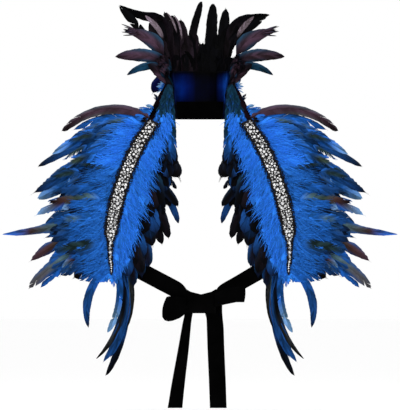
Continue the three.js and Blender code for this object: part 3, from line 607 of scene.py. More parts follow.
# Long feathers and the narrow ones that stripe them. Those with the lowest levels are in front.
TAIL_FEATHERS = table("""
    z tip_x tip_z bow width look level kind
    -228 -138 -396 -46 14 drab 0.0 sleek
    -240 -179 -489 -54 16 dusk 1.0 round
    -251 -198 -457 -74 13 thorn 0.1 sleek
    -262 -183 -461 -62 14 steel 0.7 round
    -274 -176 -406 -51 14 ice 0.6 round
    -250 -171 -453 -58 12 steel 0.8 round
    -266 -167 -391 -62 7 black 0.3 sleek
    -258 -166 -411 -65 9 steel 0.2 sleek
    -254 -160 -407 -62 4 blue 0.0 sleek
    -246 -152 -420 -58 8 deep 0.15 sleek
    -232 -141 -392 -46 3 smoke -0.15 sleek
    -243 -157 -436 -56 4 blue 0.1 sleek
""")
OUTER_COVER = table("""
    z angle bow length width
    -20 172 24 46 24
    -60 178 20 64 34
    -120 184 16 78 38
    -210 196 12 76 38
    -292 194 12 50 28
""")
INNER_COVER = table("""
    z angle bow length width
    20 296 -24 30 20
    -40 316 -36 44 30
    -150 322 -34 52 36
    -220 304 -30 49 32
    -260 292 -26 37 26
    -292 278 -16 26 16
""")
# Feathers that show through the outer cover, by their roots in the front view.
ACCENTS = table("""
    x z angle bow length width look
    -186 -152 176 14 98 24 ember
    -192 -234 186 8 84 30 moss
    -214 -50 205 14 50 17 moss
    -228 -99 188 14 58 15 moss
    -180 -96 150 40 50 18 moss
    -196 -128 184 12 84 20 deep
    -204 -186 182 12 74 18 grey
    -196 -30 184 20 54 20 moss
    -196 -66 194 16 66 24 olive
""")
# Looks of the feathers between those of the tables, by weight.
OUTER_FILL = {"blue": 5, "deep": 3, "olive": 1.6, "moss": 2, "grey": 1.6, "pale": 0.2, "rust": 0.6,
              "tipped": 0.6}
INNER_FILL = {"blue": 0.5, "deep": 1.6, "forest": 4, "umber": 2.4, "olive": 0.5}
UNDER_FILL = {"umber": 4, "forest": 4, "navy": 2}
OUTER_COVER_LOOKS = {"bright": 3.4, "blue": 3, "deep": 1.2, "mossy": 3}
INNER_COVER_LOOKS = {"vivid": 8, "bright": 3}
LONGEST_FILL = 122
NARROWEST_UNDER = 20
TOP_LEVEL = 3.0
# Above this height the covers are brighter.
UPPER_COVER = -90
COVER_PLACES = 40
DOWN_SPREAD = 0.85


def outer_feathers(rng):
    main = to_tip(OUTER_FEATHERS, OUT, "long")
    main["level"] = np.where(main["look"] == "plum", TOP_LEVEL, rng.random(len(main["x"])))
    fill = scatter(main, rng, OUTER_FILL, count=84, shorter=(0.5, 0.82), sway=5.0, first=1.2, last=3)
    fill["length"] = np.minimum(fill["length"], LONGEST_FILL)
    strips = Strips()
    grow_kinds(strips, main, "long", ("long", "round", "frayed", "spike", "sleek"), rng)
    grow(strips, fill, "long", "long", rng)
    return strips


def inner_feathers(rng):
    main = to_tip(INNER_FEATHERS, IN, "long")
    fill = scatter(main, rng, INNER_FILL, count=60, first=2.6)
    strips = Strips()
    for arcs in (main, fill):
        grow(strips, arcs, "long", "round", rng)
    return strips


def under_feathers(rng):
    main = to_tip(UNDER_FEATHERS, IN, "under")
    fill = scatter(main, rng, UNDER_FILL, count=26, shorter=(0.6, 0.93), sway=4.0)
    fill["width"] = np.maximum(fill["width"], NARROWEST_UNDER)
    strips = Strips()
    for arcs in (main, fill):
        grow(strips, arcs, "under", "round", rng)
    return strips


def tail_feathers(rng):
    strips = Strips()
    grow_kinds(strips, to_tip(TAIL_FEATHERS, IN, "tail"), "tail", ("sleek", "round"), rng)
    return strips


def cover_arcs(rows, side):
    """Arcs spread evenly between the rows of a table, with roots close to the trim."""
    z = np.linspace(rows["z"][0], rows["z"][-1], COVER_PLACES)
    arcs = in_radians({key: by_height(rows, key, z) for key in rows})
    root = side * np.minimum(LAYERS["cover"]["root"], trim_half(z) + TRIM_MARGIN)
    arcs["x"], arcs["z"] = off_seam(z, root)
    return arcs


def cover_feathers(rows, side, looks, down_looks, rng, feathers, loose):
    """Fluffy feathers and loose down, brighter on the upper part of the wing."""
    arcs = cover_arcs(rows, side)
    flock = scatter(arcs, rng, looks, feathers, shorter=(0.55, 1.1), sway=9.0)
    upper = (flock["z"] > UPPER_COVER) & (flock["look"] != "bright")
    flock["look"] = np.where(upper, "vivid", flock["look"])
    strips = Strips()
    grow(strips, flock, "cover", "cover", rng, gloss=0.5, settle=under_trim)
    down = scatter(arcs, rng, looks, loose, shorter=(0.3, 0.75), sway=16.0)
    spread = side * rng.uniform(0, DOWN_SPREAD, loose) * down["width"]
    out = seam_out(down["z"])
    down["x"] += spread * out[:, 0]
    down["z"] += spread * out[:, 1]
    down["look"] = np.where(down["z"] > UPPER_COVER, "vivid", rng.choice(down_looks, loose))
    wisps(strips, down, "down", rng)
    return strips


# Strap feathers: z on the seam, distance in from it, degrees, length, width.
STRAP = table("""
    z inset angle length width
    66 -1.0 280 34 13
    40 -1.5 282 36 15
    20 -1.0 284 38 17
    0 0.0 290 40 19
    -20 8.0 300 40 20
""")
# Their number and unevenness, and the height below which their teal turns to blue.
STRAP_FILL = {"count": 46, "jitter": 1.5, "inset": (0, 5), "sway": 7, "bow": -10, "bow_sway": 8,
              "lengths": (0.7, 1.05), "teal_above": 30}
# Tufts on the strap's outer edge: z on the seam, degrees, length, width, look.
TUFTS = table("""
    z angle length width look
    66 140 10 3 tuft
    64 158 14 3 tuft
    61 176 15 4 tuft
    58 188 12 3 blue
    55 204 14 3 tuft
    36 128 13 5 navy
    33 140 9 4 navy
    17 152 16 8 tuft
    13 160 22 10 pale
    9 156 26 12 bright
    5 166 28 12 pale
    1 172 28 12 bright
    -4 178 26 12 blue
    -3 176 12 8 umber
    -7 184 13 8 umber
""")
TUFT_ROOT = 0.7
TUFT_BOW = 0.2


def strap_feathers(strips, rng):
    fill = STRAP_FILL
    count = fill["count"]
    z = np.linspace(STRAP["z"][0], STRAP["z"][-1], count) + rng.normal(0, fill["jitter"], count)
    arcs = {key: by_height(STRAP, key, z) for key in STRAP}
    arcs["x"], arcs["z"] = off_seam(z, -(arcs["inset"] + rng.uniform(*fill["inset"], count)))
    arcs["angle"] = np.radians(arcs["angle"] + rng.normal(0, fill["sway"], count))
    arcs["bow"] = np.radians(rng.normal(fill["bow"], fill["bow_sway"], count))
    arcs["length"] *= rng.uniform(*fill["lengths"], count)
    teal = z > fill["teal_above"] * rng.random(count)
    arcs["look"] = np.where(teal, "strap", rng.choice(["blue", "bright", "deep"], count))
    grow(strips, arcs, "cover", "cover", rng, gloss=0.4)


def tufts(strips, rng):
    z = TUFTS["z"]
    arcs = {**TUFTS, "angle": np.radians(TUFTS["angle"]), "bow": np.full(len(z), TUFT_BOW)}
    arcs["x"], arcs["z"] = off_seam(z, TUFT_ROOT * by_height(SEAM, "outer", z))
    grow(strips, arcs, "cover", "frayed", rng, gloss=0.3)


def outer_cover(rng):
    down_looks = ["bright", "bright", "blue"]
    strips = cover_feathers(
        OUTER_COVER, OUT, OUTER_COVER_LOOKS, down_looks, rng, feathers=110, loose=1500)
    tufts(strips, rng)
    grow(strips, in_radians(ACCENTS), "accent", "cover", rng, gloss=0.3)
    return strips


def inner_cover(rng):
    down_looks = ["vivid", "vivid", "bright"]
    strips = cover_feathers(
        INNER_COVER, IN, INNER_COVER_LOOKS, down_looks, rng, feathers=76, loose=1300)
    strap_feathers(strips, rng)
    return strips


# Collar

COLLAR = {"height": 92, "half_width": 58, "half_depth": 55, "flare": 9, "half_angle": 130}
CROWN = {"top": 217, "half_width": 160, "half_depth": 112, "power": 1.5, "facing": 0.9}
BACK_TAPE = {"root": 40, "sewn": 1.6, "proud": 2.8, "shingle": 2.4}
COVER_TAPE = {"root": 7, "sewn": 1.6, "proud": 7.5, "shingle": 2.6}
BACK_CURVE = {"upright": 0.8, "bend": 0.45, "turned": 0.35}
COVER_CURVE = {"low": 0.3, "high": 0.7, "lean": 3, "tip_lean": 30, "tip": 118}
COVER_FILL = {"count": 56, "half_angle": 58, "jitter": 2, "lengths": (0.55, 1.0), "widths": (20, 29)}
FREE_END = 0.3
# Tall feathers of the collar's back: degrees round it, tip in the front view, width, look.
BACK_FEATHERS = table("""
    angle tip_x tip_z width look
    -90 -154 217 17 crown
    -82 -118 176 17 crown
    -66 -92 196 22 ash
    -34 -67 207 20 ash
    -26 -54 201 20 ash
    -20 -38 192 20 ash
    -14 3 229 16 crown
    -2 6 146 26 crown
    14 25 224 22 jet
    30 50 213 20 jet
    34 62 186 20 jet
    36 72 172 18 jet
    26 104 190 15 crown
    24 128 200 15 crown
""")
BACK_BROADER = 1.1
FILL_PROUD = (2, 6)
# Broad feathers that fill the contour between the tall ones.
CROWN_FILL = table("""
    angle tip_x tip_z width look
    -74 -92 192 24 ash
    -62 -78 194 26 crown
    -50 -64 195 26 ash
    -40 -52 192 26 crown
    -32 -42 184 26 ash
    -22 -30 174 24 ash
    -10 -8 166 20 ash
    6 12 145 22 jet
    22 34 164 22 jet
    32 50 176 22 jet
    36 60 182 20 jet
    38 70 186 18 jet
""")
# Lower feathers all round the back, with their tips left low in the notch of the contour, and on the right,
# past an angle, where the collar's back has no tall feathers.
CROWN_FOOT = {"count": 70, "half_angle": 88, "jitter": 2, "tips": (116, 168), "lean": 5, "inset": 0.97,
              "proud": (1.8, 6), "widths": (18, 26), "ash": 0.6, "jet_from": 4}
NOTCH = {"x": 9, "half_width": 8, "top": 142}
BARE_SIDE = {"from_angle": 30, "top": 117}
# Feathers that sweep sideways along the contour, and the pale undersides of some: points in the front view,
# width, distance ahead of the crown, look.
SWEPT_FEATHERS = [
    ([(-52, 92), (-60, 142), (-66, 176), (-80, 193), (-106, 197), (-132, 205), (-153, 217)], 20, 0, "crown"),
    ([(46, 92), (53, 128), (61, 172), (80, 190), (104, 195), (132, 200)], 19, 0, "crown"),
    ([(-50, 92), (-58, 140), (-64, 172), (-76, 187), (-96, 193), (-116, 200)], 18, -9, "crown"),
    ([(45, 92), (52, 128), (60, 168), (76, 184), (94, 190), (112, 195)], 18, -9, "crown"),
    ([(-70, 154), (-78, 170), (-90, 185), (-105, 199)], 10, 9, "silver"),
    ([(71, 156), (79, 171), (90, 184), (103, 197)], 10, 9, "silver"),
    ([(-34, 150), (-37, 172), (-42, 188), (-50, 201)], 4, 11, "silver"),
    ([(-44, 165), (-51, 186), (-57, 197), (-65, 206)], 4, 11, "silver"),
]
# Least square of their share of the crown's depth.
SWEPT_LEAST = 0.04
# Flares: root, tip, and the places that the root and the tip head for. The last one is on the left only.
FLARE_FEATHERS = table("""
    z proud rise bend_x bend_z tip_x tip_y tip_z width look
    87 4.2 54 -94 160 -143 -40 169 30 flare
    83 3.4 36 -98 128 -161 -47 119 25 flare
    78 2.6 27 -102 112 -139 -48 84 15 petrol
    80 3.0 14 -66 107 -71 -42 122 14 umber
    66 3.6 12 -82 97 -99 -46 104 22 prong
    81 3.2 3 -80 72 -89 -17 50 25 midnight
""")
FLARE_CURVE = {"angle": -117, "start": (-2, -2), "bend_y": 0.6, "points": 9}
# The frayed tip of the highest flare.
PRONGS = {"count": 6, "jitter": 0.1, "foot": (7, -1, 0), "foot_fan": (0, 0, 4), "tip_fan": (0, 0, 10),
          "lengths": (1.0, 1.5), "width": 2.6}
# Short feathers between the flares, from about one place.
FLARE_FILL = {"count": 16, "from_x": -62, "from_z": 80, "bend_x": 0.5, "bend_z": 0.8, "rise": 0.5,
              "roots": (70, 86), "proud": (1.5, 4), "tip_x": (-86, -66), "tip_y": -44, "tip_z": (94, 123),
              "widths": (14, 20)}
# Feathers that lie on the outside of the collar's front ends.
COLLAR_EDGE = {"count": 34, "angles": (-130, -98), "feet": (34, 66), "lengths": (24, 36), "proud": (1.5, 4),
               "turn": 7, "lean": 7, "widths": (10, 15)}


def collar_size(z):
    """Half the width and half the depth of the collar, and of the crown of feathers above it."""
    up = np.clip(z / COLLAR["height"], 0, 1)
    above = np.clip((z - COLLAR["height"]) / (CROWN["top"] - COLLAR["height"]), 0, None) ** CROWN["power"]
    halves = ("half_width", "half_depth")
    return [lerp(COLLAR[half] + COLLAR["flare"] * up, CROWN[half], above) for half in halves]


def collar_point(degrees, z, out):
    z = np.asarray(z, float)
    width, depth = collar_size(z)
    turn = np.radians(degrees)
    x, y, z = np.broadcast_arrays((width + out) * np.sin(turn), (depth + out) * np.cos(turn), z)
    return np.stack([x, y, z], axis=-1)


def curve_frames(curves, facing, rng):
    """Frames of free feathers from the points of their curves, carried on past their tips."""
    lines = []
    for curve in curves:
        fine = catmull_rom(curve)
        gone = np.concatenate([[0], np.cumsum(np.linalg.norm(np.diff(fine, axis=0), axis=1))])
        fine = np.vstack([fine, fine[-1] + FREE_END * gone[-1] * unit(fine[-1] - fine[-3])])
        gone = np.append(gone / gone[-1], 1 + FREE_END)
        lines.append(np.stack([np.interp(STATIONS, gone, fine[:, k]) for k in range(3)], axis=1))
    line = np.array(lines)
    tangent = unit(np.gradient(line, axis=1))
    return rolled(line, unit(np.cross(tangent, facing(line))), rng, FREE_ROLL)


def inwards(line):
    return unit(-line * [1, 1, 0])


def outwards(line):
    return -inwards(line)


def forwards(line):
    return np.broadcast_to([0.0, -1.0, 0.0], line.shape)


def crown_facing(line):
    """Into the collar at its foot, and more to the front higher up."""
    share = CROWN["facing"] * smoothstep(line[..., 2:], COLLAR["height"], CROWN["top"])
    return unit(lerp(inwards(line), forwards(line), share))


def free_flock(curves, width, look):
    length = np.array([path_length(catmull_rom(curve)) for curve in curves])
    return {"length": length, "width": np.asarray(width, float), "look": np.asarray(look)}


def grow_free(strips, curves, width, look, facing, kind, rng, gloss=1.0):
    """Adds feathers of one kind along free curves."""
    flock = free_flock(curves, width, look)
    vanes(strips, curve_frames(curves, facing, rng), flock, KINDS[kind], rng, gloss)


def back_curve(angle, tip_x, tip_z, out):
    width, depth = collar_size(tip_z)
    sine = np.clip(tip_x / width, -1, 1)
    turned = lerp(angle, np.degrees(np.arcsin(sine)), BACK_CURVE["turned"])
    bend_z = lerp(COLLAR["height"], tip_z, BACK_CURVE["bend"])
    return np.array([
        collar_point(angle, BACK_TAPE["root"], BACK_TAPE["sewn"]),
        collar_point(angle, COLLAR["height"] * BACK_CURVE["upright"], out),
        collar_point(turned, bend_z, out),
        (tip_x, depth * math.sqrt(1 - sine * sine), tip_z),
    ])


def spread_angles(fill, rng):
    """Uneven degrees round the collar's back."""
    even = np.linspace(-fill["half_angle"], fill["half_angle"], fill["count"])
    return even + rng.normal(0, fill["jitter"], fill["count"])


def foot_curves(angles, rng):
    count = CROWN_FOOT["count"]
    tips = rng.uniform(*CROWN_FOOT["tips"], count)
    lean = rng.normal(0, CROWN_FOOT["lean"], count)
    for angle, tip_z, aside, out in zip(angles, tips, lean, rng.uniform(*CROWN_FOOT["proud"], count)):
        width, _ = collar_size(tip_z)
        tip_x = width * math.sin(math.radians(angle)) * CROWN_FOOT["inset"] + aside
        top = NOTCH["top"] if abs(tip_x - NOTCH["x"]) < NOTCH["half_width"] else tip_z
        top = BARE_SIDE["top"] if angle > BARE_SIDE["from_angle"] else top
        yield back_curve(angle, tip_x, min(tip_z, top), out)


def back_feathers(rng):
    strips = Strips()

    def add(curves, width, look, facing=crown_facing, kind="round"):
        grow_free(strips, curves, width, look, facing, kind, rng, gloss=0.2)

    def row_curves(rows, outs):
        return [back_curve(*row) for row in zip(rows["angle"], rows["tip_x"], rows["tip_z"], outs)]

    rows = BACK_FEATHERS
    outs = BACK_TAPE["proud"] + BACK_TAPE["shingle"] * (np.arange(len(rows["angle"])) % 2)
    add(row_curves(rows, outs), BACK_BROADER * rows["width"], rows["look"])

    for places, width, ahead, look in SWEPT_FEATHERS:
        x, z = np.array(places, float).T
        half_width, half_depth = collar_size(z)
        y = half_depth * np.sqrt(np.clip(1 - (x / half_width) ** 2, SWEPT_LEAST, 1)) - ahead
        add([np.stack([x, y, z], axis=1)], [width], [look], forwards, "sleek")

    rows = CROWN_FILL
    outs = rng.uniform(*FILL_PROUD, len(rows["angle"]))
    add(row_curves(rows, outs), rows["width"], rows["look"])

    count = CROWN_FOOT["count"]
    angles = spread_angles(CROWN_FOOT, rng)
    curves = list(foot_curves(angles, rng))
    mixed = np.where(rng.random(count) < CROWN_FOOT["ash"], "ash", "crown")
    looks = np.where(angles > CROWN_FOOT["jet_from"], "jet", mixed)
    add(curves, rng.uniform(*CROWN_FOOT["widths"], count), looks)
    return strips


def collar_cover(rng):
    count = COVER_FILL["count"]
    angles = spread_angles(COVER_FILL, rng)
    shares = rng.uniform(*COVER_FILL["lengths"], count)
    outs = COVER_TAPE["proud"] + COVER_TAPE["shingle"] * rng.random(count)
    root = COVER_TAPE["root"]
    curves = []
    for angle, share, out in zip(angles, shares, outs):
        tip = lerp(root, COVER_CURVE["tip"], share)
        curves.append(np.array([
            collar_point(angle, root, COVER_TAPE["sewn"]),
            collar_point(angle, lerp(root, tip, COVER_CURVE["low"]), out),
            collar_point(angle, lerp(root, tip, COVER_CURVE["high"]), out + COVER_CURVE["lean"]),
            collar_point(angle, tip, out + share * COVER_CURVE["tip_lean"]),
        ]))
    widths = rng.uniform(*COVER_FILL["widths"], count)
    looks = rng.choice(["blue", "deep", "tipped", "bright"], count)
    strips = Strips()
    grow_free(strips, curves, widths, looks, outwards, "round", rng)
    return strips


def flare_curve(z, proud, rise, bend_x, bend_z, tip_x, tip_y, tip_z):
    root = collar_point(FLARE_CURVE["angle"], z, proud)
    tip = np.array([tip_x, tip_y, tip_z])
    low = root + [*FLARE_CURVE["start"], rise]
    high = np.array([bend_x, lerp(root[1], tip_y, FLARE_CURVE["bend_y"]), bend_z])
    t = np.linspace(0, 1, FLARE_CURVE["points"])[:, None]
    return (1 - t) ** 3 * root + 3 * t * (1 - t) ** 2 * low + 3 * t**2 * (1 - t) * high + t**3 * tip


def prong_curves(before, tip, rng):
    count = PRONGS["count"]
    for aside in np.linspace(-1, 1, count) + rng.normal(0, PRONGS["jitter"], count):
        foot = before + PRONGS["foot"] + aside * np.array(PRONGS["foot_fan"])
        end = lerp(before, tip, rng.uniform(*PRONGS["lengths"])) + aside * np.array(PRONGS["tip_fan"])
        yield np.array([foot, lerp(foot, end, 0.5), end])


def flare_fill_curve(rng):
    fill = FLARE_FILL
    tip_x, tip_z = rng.uniform(*fill["tip_x"]), rng.uniform(*fill["tip_z"])
    bend_x = lerp(fill["from_x"], tip_x, fill["bend_x"])
    bend_z = lerp(fill["from_z"], tip_z, fill["bend_z"])
    rise = fill["rise"] * (tip_z - fill["from_z"])
    root, proud = rng.uniform(*fill["roots"]), rng.uniform(*fill["proud"])
    return flare_curve(root, proud, rise, bend_x, bend_z, tip_x, fill["tip_y"], tip_z)


def edge_curves(rng):
    count = COLLAR_EDGE["count"]
    angles = rng.uniform(*COLLAR_EDGE["angles"], count)
    feet = rng.uniform(*COLLAR_EDGE["feet"], count)
    tops = feet + rng.uniform(*COLLAR_EDGE["lengths"], count)
    share = np.linspace(0, 1, 4)
    for angle, foot, top, out in zip(angles, feet, tops, rng.uniform(*COLLAR_EDGE["proud"], count)):
        turned = angle + COLLAR_EDGE["turn"] * share
        yield collar_point(turned, lerp(foot, top, share), out + COLLAR_EDGE["lean"] * share**2)


def flare_feathers(rows, rng):
    strips = Strips()
    *places, width, look = rows.values()
    curves = [flare_curve(*row) for row in zip(*places)]
    flock = free_flock(curves, width, look)
    frames = curve_frames(curves, forwards, rng)
    for kind, part in (("flare", slice(0, 1)), ("sleek", slice(1, None))):
        some = {key: values[part] for key, values in flock.items()}
        vanes(strips, [lines[part] for lines in frames], some, KINDS[kind], rng, gloss=0.9)

    prongs = list(prong_curves(*curves[0][-2:], rng))
    widths = np.full(len(prongs), PRONGS["width"])
    grow_free(strips, prongs, widths, ["prong"] * len(prongs), forwards, "sleek", rng)

    count = FLARE_FILL["count"]
    curves = [flare_fill_curve(rng) for _ in range(count)]
    widths = rng.uniform(*FLARE_FILL["widths"], count)
    looks = rng.choice(["flare", "umber"], count)
    grow_free(strips, curves, widths, looks, forwards, "sleek", rng, gloss=0.6)

    count = COLLAR_EDGE["count"]
    curves = list(edge_curves(rng))
    widths = rng.uniform(*COLLAR_EDGE["widths"], count)
    looks = rng.choice(["petrol", "umber", "flare"], count)
    grow_free(strips, curves, widths, looks, outwards, "round", rng, gloss=0.4)
    return strips


# Cloth

CLOTH = 2.0
BASE_CROWN = 0.6
RIBBON = 1.2
RIBBON_WIDTH = 32
NECK_RIBBON = {"low": 1, "high": 34, "gap": 0.4}
# Rows and columns of points. A ribbon has its rows for each span of its middle line.
GRIDS = {"collar": (25, 141), "base": (90, 9), "band": (110, 7), "ribbon": (16, 17), "knot": (21, 120),
         "loop": (81, 15)}
# Puckers of the collar's cloth: their least share away from the edges, their number, and their wandering.
PUCKER = {"least": 0.35, "waves": 46, "wander": 2, "slow_waves": 9}


def slab(front, back):
    """A closed wall between two grids of points, as points and quads."""
    size = front.shape[0] * front.shape[1]
    ahead = np.arange(size).reshape(front.shape[:2])
    behind = ahead + size
    faces = [
        (ahead[:-1, :-1], ahead[1:, :-1], ahead[1:, 1:], ahead[:-1, 1:]),
        (behind[:-1, :-1], behind[:-1, 1:], behind[1:, 1:], behind[1:, :-1]),
        (ahead[:-1, 0], behind[:-1, 0], behind[1:, 0], ahead[1:, 0]),
        (ahead[:-1, -1], ahead[1:, -1], behind[1:, -1], behind[:-1, -1]),
        (ahead[0, :-1], ahead[0, 1:], behind[0, 1:], behind[0, :-1]),
        (ahead[-1, :-1], behind[-1, :-1], behind[-1, 1:], ahead[-1, 1:]),
    ]
    points = np.concatenate([front.reshape(-1, 3), back.reshape(-1, 3)])
    return points, np.concatenate([np.stack(corners, axis=-1).reshape(-1, 4) for corners in faces])


def ring_quads(rings, sides):
    """Quads between rings of points."""
    index = np.arange(rings * sides).reshape(rings, sides)
    after = np.roll(index, -1, axis=1)
    return np.stack([index[:-1], after[:-1], after[1:], index[1:]], axis=-1).reshape(-1, 4)


def collar_wall(low, high, inner, outer, pucker):
    rows, columns = GRIDS["collar"]
    turn = np.linspace(-COLLAR["half_angle"], COLLAR["half_angle"], columns)[None, :]
    z = np.linspace(low, high, rows)[:, None]
    edge = np.abs(2 * (z - low) / (high - low) - 1) ** 6
    around = np.radians(turn)
    wave = np.sin(PUCKER["waves"] * around + PUCKER["wander"] * np.sin(PUCKER["slow_waves"] * around))
    fold = pucker * (PUCKER["least"] + edge) * wave
    return slab(collar_point(turn, z, outer + fold), collar_point(turn, z, inner + fold))


def seam_wall(z, distance, low, high):
    """A wall along the seam, between two heights. distance is (rows, columns)."""
    z = np.broadcast_to(z[:, None], distance.shape)
    return slab(beside_seam(z, distance, high), beside_seam(z, distance, low))


def wing_base():
    rows, columns = GRIDS["base"]
    z = np.linspace(SEAM_TOP, SEAM_FOOT, rows)
    shares = np.linspace(1, -1, columns)
    outer, inner = (by_height(SEAM, key, z)[:, None] for key in ("outer", "inner"))
    distance = shares * np.where(shares > 0, outer, inner)
    return seam_wall(z, distance, 0.0, CLOTH - BASE_CROWN * np.abs(shares) ** 4)


def trim_band():
    rows, columns = GRIDS["band"]
    z = np.linspace(TRIM_TOP, SEAM_FOOT, rows)
    distance = np.linspace(1, -1, columns) * trim_half(z)[:, None]
    return seam_wall(z, distance, TRIM_HEIGHT, TRIM_HEIGHT + CLOTH)


# Ribbons by their middle line; turn is the direction of the width in the front view.
LEFT_SASH = table("""
    x y z turn width
    -166 -94.4 -260 62 32
    -138 -91.4 -275 62 32
    -112 -77 -289 62 32
    -74 -86 -309 62 32
    -44 -96 -325 68 32
    -26.2 -100 -338 90 32
""")
RIGHT_SASH = table("""
    x y z turn width
    166 -94.4 -260 118 32
    138 -91.4 -275 118 32
    112 -77 -290 119 31
    74 -86 -312 119 30
    46 -96 -328 112 30
    30.2 -100 -339.5 90 30
""")
LEFT_TIE_END = table("""
    x y z turn width
    -20.5 -86 -363 0 18
    -22.2 -88 -373 2 15.5
    -25.5 -96 -392 5 17
    -32 -94 -440 4 21
    -41 -96 -500 2 25
    -47.5 -93 -549 0 28
""")
RIGHT_TIE_END = table("""
    x y z turn width
    35.5 -85 -348 0 14
    26.5 -84 -365 0 31.5
    27.8 -88 -380 -1 31
    29 -96 -398 -1 32
    30.4 -98 -440 -1 32
    33 -95 -500 -1 32
    34.7 -97 -549 0 32
""")
# A sash lies behind the wing along its sewn rows and comes free over the last of them.
SEWN_ROWS = 2
SEWN_GAP = 0.6
RIBBON_FOLD = {"count": 2, "depth": 1.4, "phase": 0.6, "swell": 0.8, "full_width": 1.3, "least": 0.12}


def ribbon(rows, sewn=0):
    """A ribbon along its middle line, and its length. Soft folds along it are deeper where it is gathered."""
    steps, columns = GRIDS["ribbon"]
    line = catmull_rom(np.stack(list(rows.values()), axis=1), steps)
    x, y, z, turn, width = (part[:, None] for part in line.T)
    share = np.linspace(-0.5, 0.5, columns)[None, :]
    px = x + share * width * np.cos(np.radians(turn))
    pz = z + share * width * np.sin(np.radians(turn))
    gathered = np.clip(RIBBON_FOLD["full_width"] - width / RIBBON_WIDTH, RIBBON_FOLD["least"], 1)
    fold = np.cos(2 * np.pi * RIBBON_FOLD["count"] * share + RIBBON_FOLD["phase"])
    fold = RIBBON_FOLD["depth"] * gathered * fold + RIBBON_FOLD["swell"] * (1 - (2 * share) ** 2)
    py = y - fold
    if sewn:
        behind = wing_depth(-np.abs(px), pz) + SEWN_GAP + RIBBON / 2
        freed = smoothstep(np.arange(len(x))[:, None], steps * (sewn - 1), steps * sewn)
        py = lerp(behind, py, freed)
    middle = np.stack([px, py, pz], axis=-1)
    thick = np.array([0, RIBBON / 2, 0])
    return slab(middle - thick, middle + thick), path_length(line[:, :3])


KNOT = {"x": 2, "y": -100, "z": -346, "half_width": 28, "half_height": 23, "half_depth": 10, "dip": 10,
        "rim": 0.7, "rounding": 0.25}
CREASE = {"count": 12, "depth": 1.2, "aside": 0.3, "drift": 0.5, "twist": 3}


def knot():
    """A barrel of ribbon drawn into upright creases, round at its ends."""
    rows, columns = GRIDS["knot"]
    around = np.linspace(0, 2 * np.pi, columns, endpoint=False)[None, :]
    up = np.concatenate([[-1, -1], np.linspace(-1, 1, rows), [1, 1]])[:, None]
    close = np.concatenate([[0.0, KNOT["rim"]], np.ones(rows), [KNOT["rim"], 0.0]])[:, None]
    roll = np.sqrt(np.clip(1 - KNOT["rounding"] * np.abs(up) ** 8, 0, 1))
    crease = np.cos(CREASE["count"] * around + CREASE["drift"] * np.sin(CREASE["twist"] * up + around))
    crease = CREASE["depth"] * crease * (0.5 + 0.5 * np.abs(up))
    x = KNOT["x"] + close * (KNOT["half_width"] + CREASE["aside"] * crease) * np.cos(around)
    y = KNOT["y"] + close * roll * (KNOT["half_depth"] + crease) * np.sin(around)
    aside = np.clip((x - KNOT["x"]) / KNOT["half_width"], -1, 1)
    z = KNOT["z"] + up * KNOT["half_height"] - KNOT["dip"] * np.clip(up, 0, 1) * (1 - aside**2)
    return np.stack([x, y, z], axis=-1).reshape(-1, 3), ring_quads(*x.shape)


# Loops by their upper and lower edges, at shares of the way out from the knot.
LEFT_LOOP = table("""
    share top_x top_z foot_x foot_z
    -0.1 -22 -341 -22 -367
    0 -26.2 -340 -26.2 -369
    0.3 -38 -338 -38 -378
    0.6 -50 -337 -51 -383
    0.8 -57 -336.5 -60 -384.5
    0.92 -61 -337 -67 -382.5
    1 -63.5 -338 -71 -377
    1.1 -66 -339 -76 -371
""")
RIGHT_LOOP = table("""
    share top_x top_z foot_x foot_z
    -0.1 22 -333 22 -358
    0 27.6 -331 27.6 -357
    0.4 50 -322 49 -352
    0.75 70 -318 69 -348
    1 85 -317 83.5 -348
    1.1 91 -317 89.5 -348
""")
LOOP_SIZES = records("""
    name length depth bulge
    left 44 15 -3
    right 57 13 1.5
""")
LOOP_DEPTH = -106
LOOP_MOUTH = 0.95
PLEAT = {"depth": 0.5, "count": 3, "reach": 0.7}


def loop(edges, size):
    """A bow loop and its length: ribbon that goes out from the knot, folds and comes back, gathered there."""
    rows, columns = GRIDS["loop"]
    turn = np.linspace(0, 2 * np.pi, rows)
    out = size["length"] * (1 - np.cos(turn)) / 2
    gape = size["depth"] / 2 * np.sin(turn) * np.sin(turn / 2) + LOOP_MOUTH * np.cos(turn / 2)
    way = unit(np.stack([np.gradient(out), np.gradient(gape)], axis=-1))
    share = np.linspace(0, 1, columns)[None, :]

    def grid(offset):
        far = (out - way[:, 1] * offset)[:, None] / size["length"]
        read = {key: np.interp(far, edges["share"], edges[key]) for key in edges}
        pleat = PLEAT["depth"] * np.cos(2 * np.pi * PLEAT["count"] * share)
        deep = (gape + way[:, 0] * offset)[:, None] + pleat * (1 - smoothstep(far, 0, PLEAT["reach"]))
        bulge = size["bulge"] * far**4 * np.sin(np.pi * share)
        x = lerp(read["top_x"], read["foot_x"], share) + bulge
        z = lerp(read["top_z"], read["foot_z"], share)
        return np.stack(np.broadcast_arrays(x, LOOP_DEPTH + deep, z), axis=-1)

    return slab(grid(RIBBON / 2), grid(-RIBBON / 2)), path_length(np.stack([out, gape], axis=1))


# Trim

TRIM_HEIGHT = 9.1
# Diameters of stones, and how many places are tried for each.
STONE_SIZES = [(7.0, 70), (5.4, 260), (3.8, 900), (2.6, 1600)]
# tones bounds a factor on each stone's painted glints, so that some stones are painted brighter than others.
STONE = {"sides": 8, "height": 0.72, "sunk": 0.1, "tilt": 0.09, "edge": 0.4, "closest": 0.92,
         "lowest": SEAM_FOOT + 2, "highest": TRIM_TOP - 3, "tones": (0.6, 1.3)}
# Radius, height and turn of a stone's foot, girdle, table and middle.
STONE_RINGS = [(0.78, 0.0, 0.0), (1.0, 0.34, 0.0), (0.58, 0.95, 0.5), (0.0, 1.05, 0.0)]
